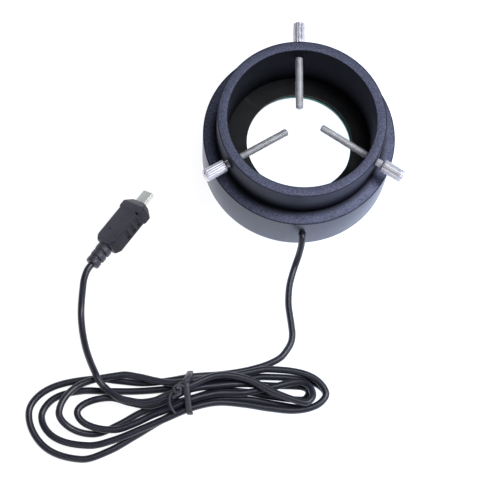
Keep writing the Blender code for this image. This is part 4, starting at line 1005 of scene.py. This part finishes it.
def make_diodes():
    for label, radius, count, ring_radius in DIODE_ROWS:
        bodies, frames, chips = bmesh.new(), bmesh.new(), bmesh.new()
        for i in range(count):
            azimuth = SPACER_AZIMUTHS[0] + (i + 0.5) * 360.0 / count
            matrix = Matrix.Translation(polar(radius, azimuth)) @ spin(azimuth)
            joined(bodies, diode_body(), matrix)
            joined(frames, diode_frame(), matrix)
            joined(chips, diode_chip(), matrix)
        make_piece(f"diodes_{label}", bodies, "diode", (f"leds_{label}_row",), angle=40.0)
        make_piece(f"diode_frames_{label}", frames, "copper")
        make_piece(f"diode_chips_{label}", chips, "phosphor")
        outer = ring_radius + DIODE_RING_WIDTH
        ring = flat_ring(outer, ring_radius, DIODE_RING_BOTTOM, DIODE_RING_TOP, 0.2, 180)
        make_piece(f"diode_ring_{label}", ring, "nylon")


def make_window_screws():
    """Screws with a slotted head and rings for a thread."""
    bottom, top, core, crest, pitch = 0.1, 7.0, 0.86, 1.0, 0.45
    head = [(0.05, 0.0), (1.0, 0.02), (1.55, 0.15), (1.85, 0.5), (1.9, 0.8), (1.9, 1.18), (1.84, 1.2)]
    profile = [(radius, bottom + height) for radius, height in head] + [(crest, bottom + 1.2)]
    z = bottom + 1.2
    while z < top - 0.1:
        profile += [(crest, z + 0.05), (core, z + 0.2), (core, z + 0.26), (crest, z + 0.4)]
        z += pitch
    profile.append((0.05, top))
    for i, azimuth in enumerate(SPACER_AZIMUTHS):
        slot = bmesh.new()
        add_box(slot, (6.0, 0.6, 1.0), (0.0, 0.0, bottom), spin(20.0 + 55.0 * i))
        shape = revolved(profile, 32, closed=False)
        matrix = TO_WORLD @ Matrix.Translation(polar(SPACER_CIRCLE_RADIUS, azimuth))
        nodes = (f"window_screw_{i + 1}",)
        make_piece(f"window_screw_piece_{i + 1}", shape, "zinc", nodes, (slot,), matrix)


def make_resistors():
    """Resistors with four coloured bands, laid along the board's rim."""
    half = [(0.05, -3.15), (0.75, -3.14), (1.08, -2.9), (RESISTOR_RADIUS, -2.5), (1.12, -1.9), (0.95, -1.5)]
    profile = half + [(0.93, 0.0)] + [(radius, -z) for radius, z in reversed(half)]
    waist, crown = 0.955, 0.985
    height = BOARD_TOP + CLEARANCE + RESISTOR_RADIUS
    for i, step in enumerate(RESISTOR_STEPS):
        azimuth = CORD_EXIT_AZIMUTH + step
        place = Matrix.Translation(polar(RESISTOR_CIRCLE_RADIUS, azimuth, height))
        matrix = TO_WORLD @ place @ spin(azimuth) @ spin(90.0, "X")
        shape = revolved(profile, 28, closed=False)
        nodes = (f"board_resistor_{i + 1}",)
        make_piece(f"resistor_piece_{i + 1}", shape, "resistor", nodes, matrix=matrix)
        bands = bmesh.new()
        for middle in (-1.1, -0.4, 0.3, 1.15):
            band = [(waist, middle - 0.17), (crown, middle - 0.13), (crown, middle + 0.13)]
            band += [(waist, middle + 0.17), (0.90, middle)]
            joined(bands, revolved(band, 28))
        make_piece(f"resistor_bands_{i + 1}", bands, "red", matrix=matrix)


def make_wires():
    """Two wires from the cord's end up to the board. Each point is inset, sideways, rise."""
    outward = polar(1.0, CORD_EXIT_AZIMUTH)
    across = polar(1.0, CORD_EXIT_AZIMUTH + 90.0)
    route = ((5.4, 0.8, 0.0), (6.3, 0.9, 0.6), (6.5, 1.8, 2.3), (6.0, 4.2, 3.3))
    route += ((5.3, 6.4, 2.2), (5.2, 7.0, 0.9), (5.2, 7.0, 0.15))
    for name, side in (("red", 1.0), ("black", -1.0)):
        points = [
            outward * (FLANGE_RADIUS - inset) + across * side * step + UP * (CORD_EXIT_HEIGHT + rise)
            for inset, step, rise in route
        ]
        curve_piece(f"supply_wire_{name}", points, WIRE_RADIUS, name, (f"wire_{name}",), sides=3)


make_housing()
make_floor_ring()
make_board()
make_window()
make_shade()
make_diodes()
make_window_screws()
make_resistors()
make_wires()


# Thumbscrews


def thread_radius(height, azimuth, tip, end):
    """Radius of a right-hand thread that fades out at its two ends."""
    phase = (height / THREAD_PITCH - azimuth / 360.0) % 1.0
    ridge = abs(2.0 * phase - 1.0)
    groove = THREAD_DEPTH * min(max(1.35 * (1.0 - ridge) - 0.15, 0.0), 1.0)
    radius = STUD_RADIUS - groove
    radius = min(radius, STUD_RADIUS - 0.65 * max(0.0, 1.0 - (height - tip) / 0.65))
    if height > end - 1.0:
        radius = min(radius, STUD_RADIUS - 0.05)
    return radius


def make_stud(name, screw):
    tip = -screw.insertion
    end = tip + STUD_BARE_LENGTH + SOCKET_DEPTH - CLEARANCE
    sides = 36
    rows = int((end - tip) / (THREAD_PITCH / 8.0))
    azimuths = [360.0 * i / sides for i in range(sides)]
    loops = [[polar(0.7, azimuth, tip) for azimuth in azimuths]]
    for row in range(rows + 1):
        height = tip + 0.02 + (end - tip - 0.02) * row / rows
        radii = [thread_radius(height, azimuth, tip, end) for azimuth in azimuths]
        loops.append([polar(radius, azimuth, height) for radius, azimuth in zip(radii, azimuths)])
    shape = bmesh.new()
    skin(shape, loops)
    matrix = TO_WORLD @ screw_matrix(screw)
    nodes, body = (f"screw_stud_{name}",), f"stud_{name}"
    make_piece(f"threaded_stud_{name}", shape, "stud", nodes, (), matrix, body, 60.0)


def fluted_radius(azimuth, inset):
    """Rounded ridges with narrow grooves between them, which fade where the edge is drawn in."""
    phase = (azimuth * HEAD_FLUTES / 360.0) % 1.0
    groove = max(0.0, math.cos(2.0 * math.pi * (phase - 0.5))) ** 2
    depth = HEAD_FLUTE_DEPTH * groove * max(0.0, 1.0 - inset / HEAD_FLUTE_FADE)
    return HEAD_RADIUS - depth - inset


def make_head(name, screw):
    """Fluted head with a blind socket for the stud and a slot across its outer end."""
    start = STUD_BARE_LENGTH - screw.insertion
    end = start + HEAD_LENGTH
    sides = HEAD_FLUTES * 10
    levels = [(start + step, inset) for step, inset in HEAD_EDGE]
    levels += [(end - step, inset) for step, inset in reversed(HEAD_EDGE)]
    azimuths = [360.0 * i / sides for i in range(sides)]
    loops = [
        [polar(fluted_radius(azimuth, inset), azimuth, height) for azimuth in azimuths]
        for height, inset in levels
    ]
    shape, socket, mouth, slot = bmesh.new(), bmesh.new(), bmesh.new(), bmesh.new()
    skin(shape, loops)
    add_drum(socket, STUD_RADIUS + CLEARANCE, UP * (start - 2.0), UP * (start + SOCKET_DEPTH), 40)
    add_drum(mouth, 2.65, UP * (start - 0.2), UP * (start + 0.25), 40, 2.2)
    add_box(slot, (12.0, HEAD_SLOT_WIDTH, 2.0 * HEAD_SLOT_DEPTH), UP * end, spin(screw.slot_turn))
    matrix = TO_WORLD @ screw_matrix(screw)
    nodes, cutters, body = (f"screw_head_{name}",), (socket, mouth, slot), f"head_{name}"
    make_piece(f"fluted_head_{name}", shape, "nickel", nodes, cutters, matrix, body, 36.0)


for screw_name, screw_data in SCREWS.items():
    make_stud(screw_name, screw_data)
    make_head(screw_name, screw_data)


# Plug


def section(along, width, height, corner, per_corner=8):
    """Loop of a rounded rectangle across the plug's axis."""
    loop = []
    for quarter, (side_y, side_z) in enumerate(((1, 1), (-1, 1), (-1, -1), (1, -1))):
        for i in range(per_corner + 1):
            angle = math.radians(90.0 * (quarter + i / per_corner))
            y = side_y * (width / 2.0 - corner) + corner * math.cos(angle)
            z = side_z * (height / 2.0 - corner) + corner * math.sin(angle)
            loop.append(Vector((along, y, z)))
    return loop


def round_section(along, radius):
    return section(along, 2.0 * radius, 2.0 * radius, radius * 0.999)


def boot_sections():
    """Ribs that widen towards the body, each followed by a groove."""
    loops = [round_section(0.0, 1.95), round_section(0.0, 2.8)]
    for i in range(BOOT_RIBS):
        radius = 3.8 + 0.2 * i
        start = BOOT_RIB_PITCH * i
        end = start + BOOT_RIB_LENGTH
        loops.append(round_section(start, radius - 0.55))
        loops += [round_section(start + step, radius - inset) for step, inset in BOOT_RIB_EDGE]
        loops += [round_section(end - step, radius - inset) for step, inset in reversed(BOOT_RIB_EDGE)]
        loops.append(round_section(end, radius - 0.60))
        for along in (end + 0.08, end + 0.72):
            groove = round_section(along, radius - BOOT_GROOVE_DEPTH)
            loops.append([point + BOOT_GROOVE_SHIFT for point in groove])
    return loops


def between(first, second, share):
    """Width, height and corner at a share of the way from one size to another."""
    return [start + (end - start) * share for start, end in zip(first, second)]


def body_sections():
    """Loops along the body, its grip and the nose that the shell comes out of."""
    loops = []
    for along, side, top in REAR_BEVEL:
        width, height = BODY_WIDTH - 2 * side, BODY_HEIGHT - 2 * top
        loops.append(section(BOOT_LENGTH + along, width, height, BODY_CORNER - 0.4 * top))
    loops.append(section(GRIP_START - 0.5, *BODY_SIZE))
    for along, share in GRIP_STEP:
        loops.append(section(GRIP_START + along, *between(BODY_SIZE, GRIP_SIZE, share)))
    for share, taper in NOSE_TAPER:
        along = PLUG_FRONT - NOSE_LENGTH * (1.0 - share)
        loops.append(section(along, *between(GRIP_SIZE, NOSE_SIZE, taper)))
    return loops


def shell_loop(along, offset):
    """Rounded outline of the shell, a box whose foot is drawn in."""
    half, foot, top, shoulder = 3.4 + offset, 2.7 + offset, 1.7 + offset, 0.2
    outline = ((half, top), (half, shoulder), (foot, -top), (-foot, -top), (-half, shoulder), (-half, top))
    return [Vector((along, y, z)) for y, z in rounded(outline, 0.45, 4)]


def make_plug_body():
    """Boot, body and grip in one moulding, with dents at its sides and a dimple on top. Its flat sides take
    a darker, rougher copy of its material: the darker colour is painted shade.
    """
    shape, pocket, dents, dimple, nicks = [bmesh.new() for _ in range(5)]
    skin(shape, boot_sections() + body_sections())
    skin(pocket, [shell_loop(SHELL_START - CLEARANCE, CLEARANCE), shell_loop(PLUG_FRONT + 2.0, CLEARANCE)])
    top = BODY_HEIGHT / 2.0
    for side in (1.0, -1.0):
        for i in (-1, 0, 1):
            along, y = GRIP_START - DENTS_BEHIND_GRIP + i * DENT_PITCH, side * (BODY_WIDTH / 2.0 + 0.30)
            add_drum(dents, DENT_RADIUS, (along, y, -DENT_HALF_HEIGHT), (along, y, DENT_HALF_HEIGHT), 32)
        place = Matrix.Translation((GRIP_START + 0.1, side * (BODY_WIDTH / 2.0 - 0.4), top - 0.4))
        add_box(nicks, (0.9, 2.6, 1.5), (0.0, 0.0, 0.0), place @ spin(45.0 * side, "X"))
    add_drum(dimple, 0.45, (*DIMPLE_PLACE, top - 0.6), (*DIMPLE_PLACE, top + 0.2), 24, 0.75)
    body = plain_object("plug_body", shape)
    cut(body, pocket, dents, dimple, nicks)
    # flat side faces, which get the darker copy of the material as painted shade
    sides = [abs(face.normal.y) > 0.6 and face.center.x > BOOT_LENGTH + 0.5 for face in body.data.polygons]
    body.data.transform(PLUG_TO_WORLD)
    dress(body, "plug", ("plug_overmould",), angle=34.0)
    body.data.materials.append(MATERIALS["plug_shaded_side"])
    for face, is_shaded_face in zip(body.data.polygons, sides):
        face.material_index = int(is_shaded_face)


def make_plug_shell():
    """Metal shell with a fine groove along its top."""
    outline = (
        (SHELL_START, 0.0),
        (SHELL_END - 0.12, 0.0),
        (SHELL_END, -0.10),
        (SHELL_END, 0.10 - SHELL_WALL),
        (SHELL_END - 0.12, -SHELL_WALL),
        (SHELL_START, -SHELL_WALL),
    )
    shape, groove = bmesh.new(), bmesh.new()
    skin(shape, [shell_loop(along, offset) for along, offset in outline], closed=True)
    add_box(groove, (SHELL_LENGTH - 1.2, 0.22, 0.30), (PLUG_FRONT + SHELL_LENGTH / 2.0, -2.75, 1.75))
    make_piece("plug_metal_shell", shape, "shell", ("plug_shell",), (groove,), PLUG_TO_WORLD)


def make_plug_tongue():
    """Tongue inside the shell, with five contacts under it."""
    shape, contacts = bmesh.new(), bmesh.new()
    levels = ((SHELL_START, 0.0), (SHELL_END - 1.4, 0.0), (SHELL_END - 1.2, 0.12))
    skin(shape, [section(along, 4.4 - 2 * inset, 1.0 - 2 * inset, 0.2, 3) for along, inset in levels])
    make_piece("plug_contact_tongue", shape, "moulded", ("plug_tongue",), matrix=PLUG_TO_WORLD)
    for i in range(5):
        add_box(contacts, (4.6, 0.32, 0.06), (SHELL_END - 3.8, -1.5 + 0.75 * i, -0.53))
    make_piece("plug_contacts", contacts, "brass", matrix=PLUG_TO_WORLD)


make_plug_body()
make_plug_shell()
make_plug_tongue()


# Tie round the hank's waist


def tie_outline(offset):
    """Outline round all the strands at the waist, at a distance from the cord's surface."""
    middle = sum(height for _, height, _ in HANK_PASSES) / len(HANK_PASSES) + WAIST_LIFT
    reach = CORD_DIAMETER / 2.0 + offset
    outline = []
    for i in range(TIE_POINTS):
        angle = 2.0 * math.pi * i / TIE_POINTS
        across, up = math.cos(angle), math.sin(angle)
        outermost = max(
            HANK_PASSES, key=lambda waist: waist[0] * across + (waist[1] + WAIST_LIFT - middle) * up
        )
        outline.append((outermost[0] + reach * across, outermost[1] + WAIST_LIFT + reach * up))
    return outline


def bowed(along, y):
    """The band does not run straight over the hank, its middle sags along it."""
    return along - TIE_SAG + TIE_BOW * (y - TIE_BOW_MIDDLE) ** 2


def make_tie():
    """Band with the free strands of its knot."""
    half, edge = TIE_HALF_WIDTH, TIE_EDGE
    side = [
        (-half + edge, TIE_INNER),
        (-half, TIE_INNER + edge),
        (-half, TIE_OUTER - edge),
        (-half + edge, TIE_OUTER),
    ]
    levels = side + [(0.0, TIE_CROWN)] + [(-along, offset) for along, offset in reversed(side)]
    loops = [[Vector((bowed(along, y), y, z)) for y, z in tie_outline(offset)] for along, offset in levels]
    shape = bmesh.new()
    skin(shape, loops, closed=True)
    matrix = TO_WORLD @ HANK_MATRIX
    pieces = [make_piece("tie_band", shape, "tie", ("hank_tie",), matrix=matrix, angle=50.0)]
    for name, radius, points in TIE_STRANDS:
        pieces.append(curve_piece(name, points, radius, "tie", matrix=matrix))
    return pieces


tie_pieces = make_tie()


# Materials of the nodes that stay


def paint_nodes():
    kept = {"cord_stop": "nylon"}
    for i in range(4):
        kept[f"board_spacer_{i + 1}"] = "brass"
    for node, material in kept.items():
        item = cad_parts[node]
        item.data.materials.clear()
        item.data.materials.append(MATERIALS[material])


paint_nodes()


# Floor and light, in metres
STAGE_SIZE = 4.0
STAGE_DROP = 0.0002
LIGHT_TARGET = Vector((0.0, -0.05, 0.0))


def make_floor():
    """Pale sheet that glows as if lit from below, bluer to the right."""
    bm = bmesh.new()
    bmesh.ops.create_grid(bm, x_segments=1, y_segments=1, size=STAGE_SIZE)
    floor = plain_object("floor", bm)
    floor.data.transform(Matrix.Translation((0.0, 0.0, -STAGE_DROP)))
    paint = Paint("pale_floor", roughness=0.9)
    paint.color(paint.ramp(paint.noise(40.0, 3.0), (0.3, (0.30, 0.30, 0.30)), (0.7, (0.34, 0.34, 0.34))))
    side = paint.span(paint.apart(paint.where)[0], 0.0, 1.0, -0.05, 0.06)
    glow = paint.mixed(side, (0.98, 0.98, 1.00), (1.14, 1.26, 1.54))
    paint.link(glow, paint.shader.inputs["Emission Color"])
    paint.shader.inputs["Emission Strength"].default_value = 0.95
    floor.data.materials.append(paint.material)


def add_light(name, place, size, power, color=(1.0, 1.0, 1.0)):
    """Square soft box that faces the object."""
    data = bpy.data.lights.new(name, "AREA")
    data.shape = "RECTANGLE"
    data.size = data.size_y = size
    data.energy = power
    data.color = color
    item = bpy.data.objects.new(name, data)
    bpy.context.scene.collection.objects.link(item)
    place = Vector(place)
    turn = (LIGHT_TARGET - place).to_track_quat("-Z", "Y").to_matrix().to_4x4()
    item.matrix_world = Matrix.Translation(place) @ turn


def make_studio():
    """Bright horizon, dim front and ceiling, and three soft boxes."""
    world = bpy.data.worlds.new("studio")
    world.use_nodes = True
    sky = Nodes(world.node_tree)
    background = sky.tree.nodes["Background"]
    _, depth, height = sky.apart(sky.node("ShaderNodeTexCoord").outputs["Generated"])
    tones = ((0.0, 0.80), (0.12, 0.36), (0.45, 0.08), (0.80, 0.05), (0.96, 0.08))
    stops = [(place, (0.94 * tone, tone, 1.18 * tone)) for place, tone in tones]
    sky.link(sky.ramp(height, *stops), background.inputs["Color"])
    sky.link(sky.span(depth, 0.15, 1.0, -0.95, -0.45), background.inputs["Strength"])
    bpy.context.scene.world = world
    bpy.context.scene.view_settings.view_transform = "Standard"
    add_light("key_light", (0.80, -0.02, 1.15), 0.60, 11.0, (0.92, 0.96, 1.0))
    add_light("top_light", (0.25, 0.20, 1.40), 0.50, 4.0, (0.96, 0.98, 1.0))
    add_light("fill_light", (-0.30, -1.10, 0.75), 0.60, 1.5)


make_floor()
make_studio()
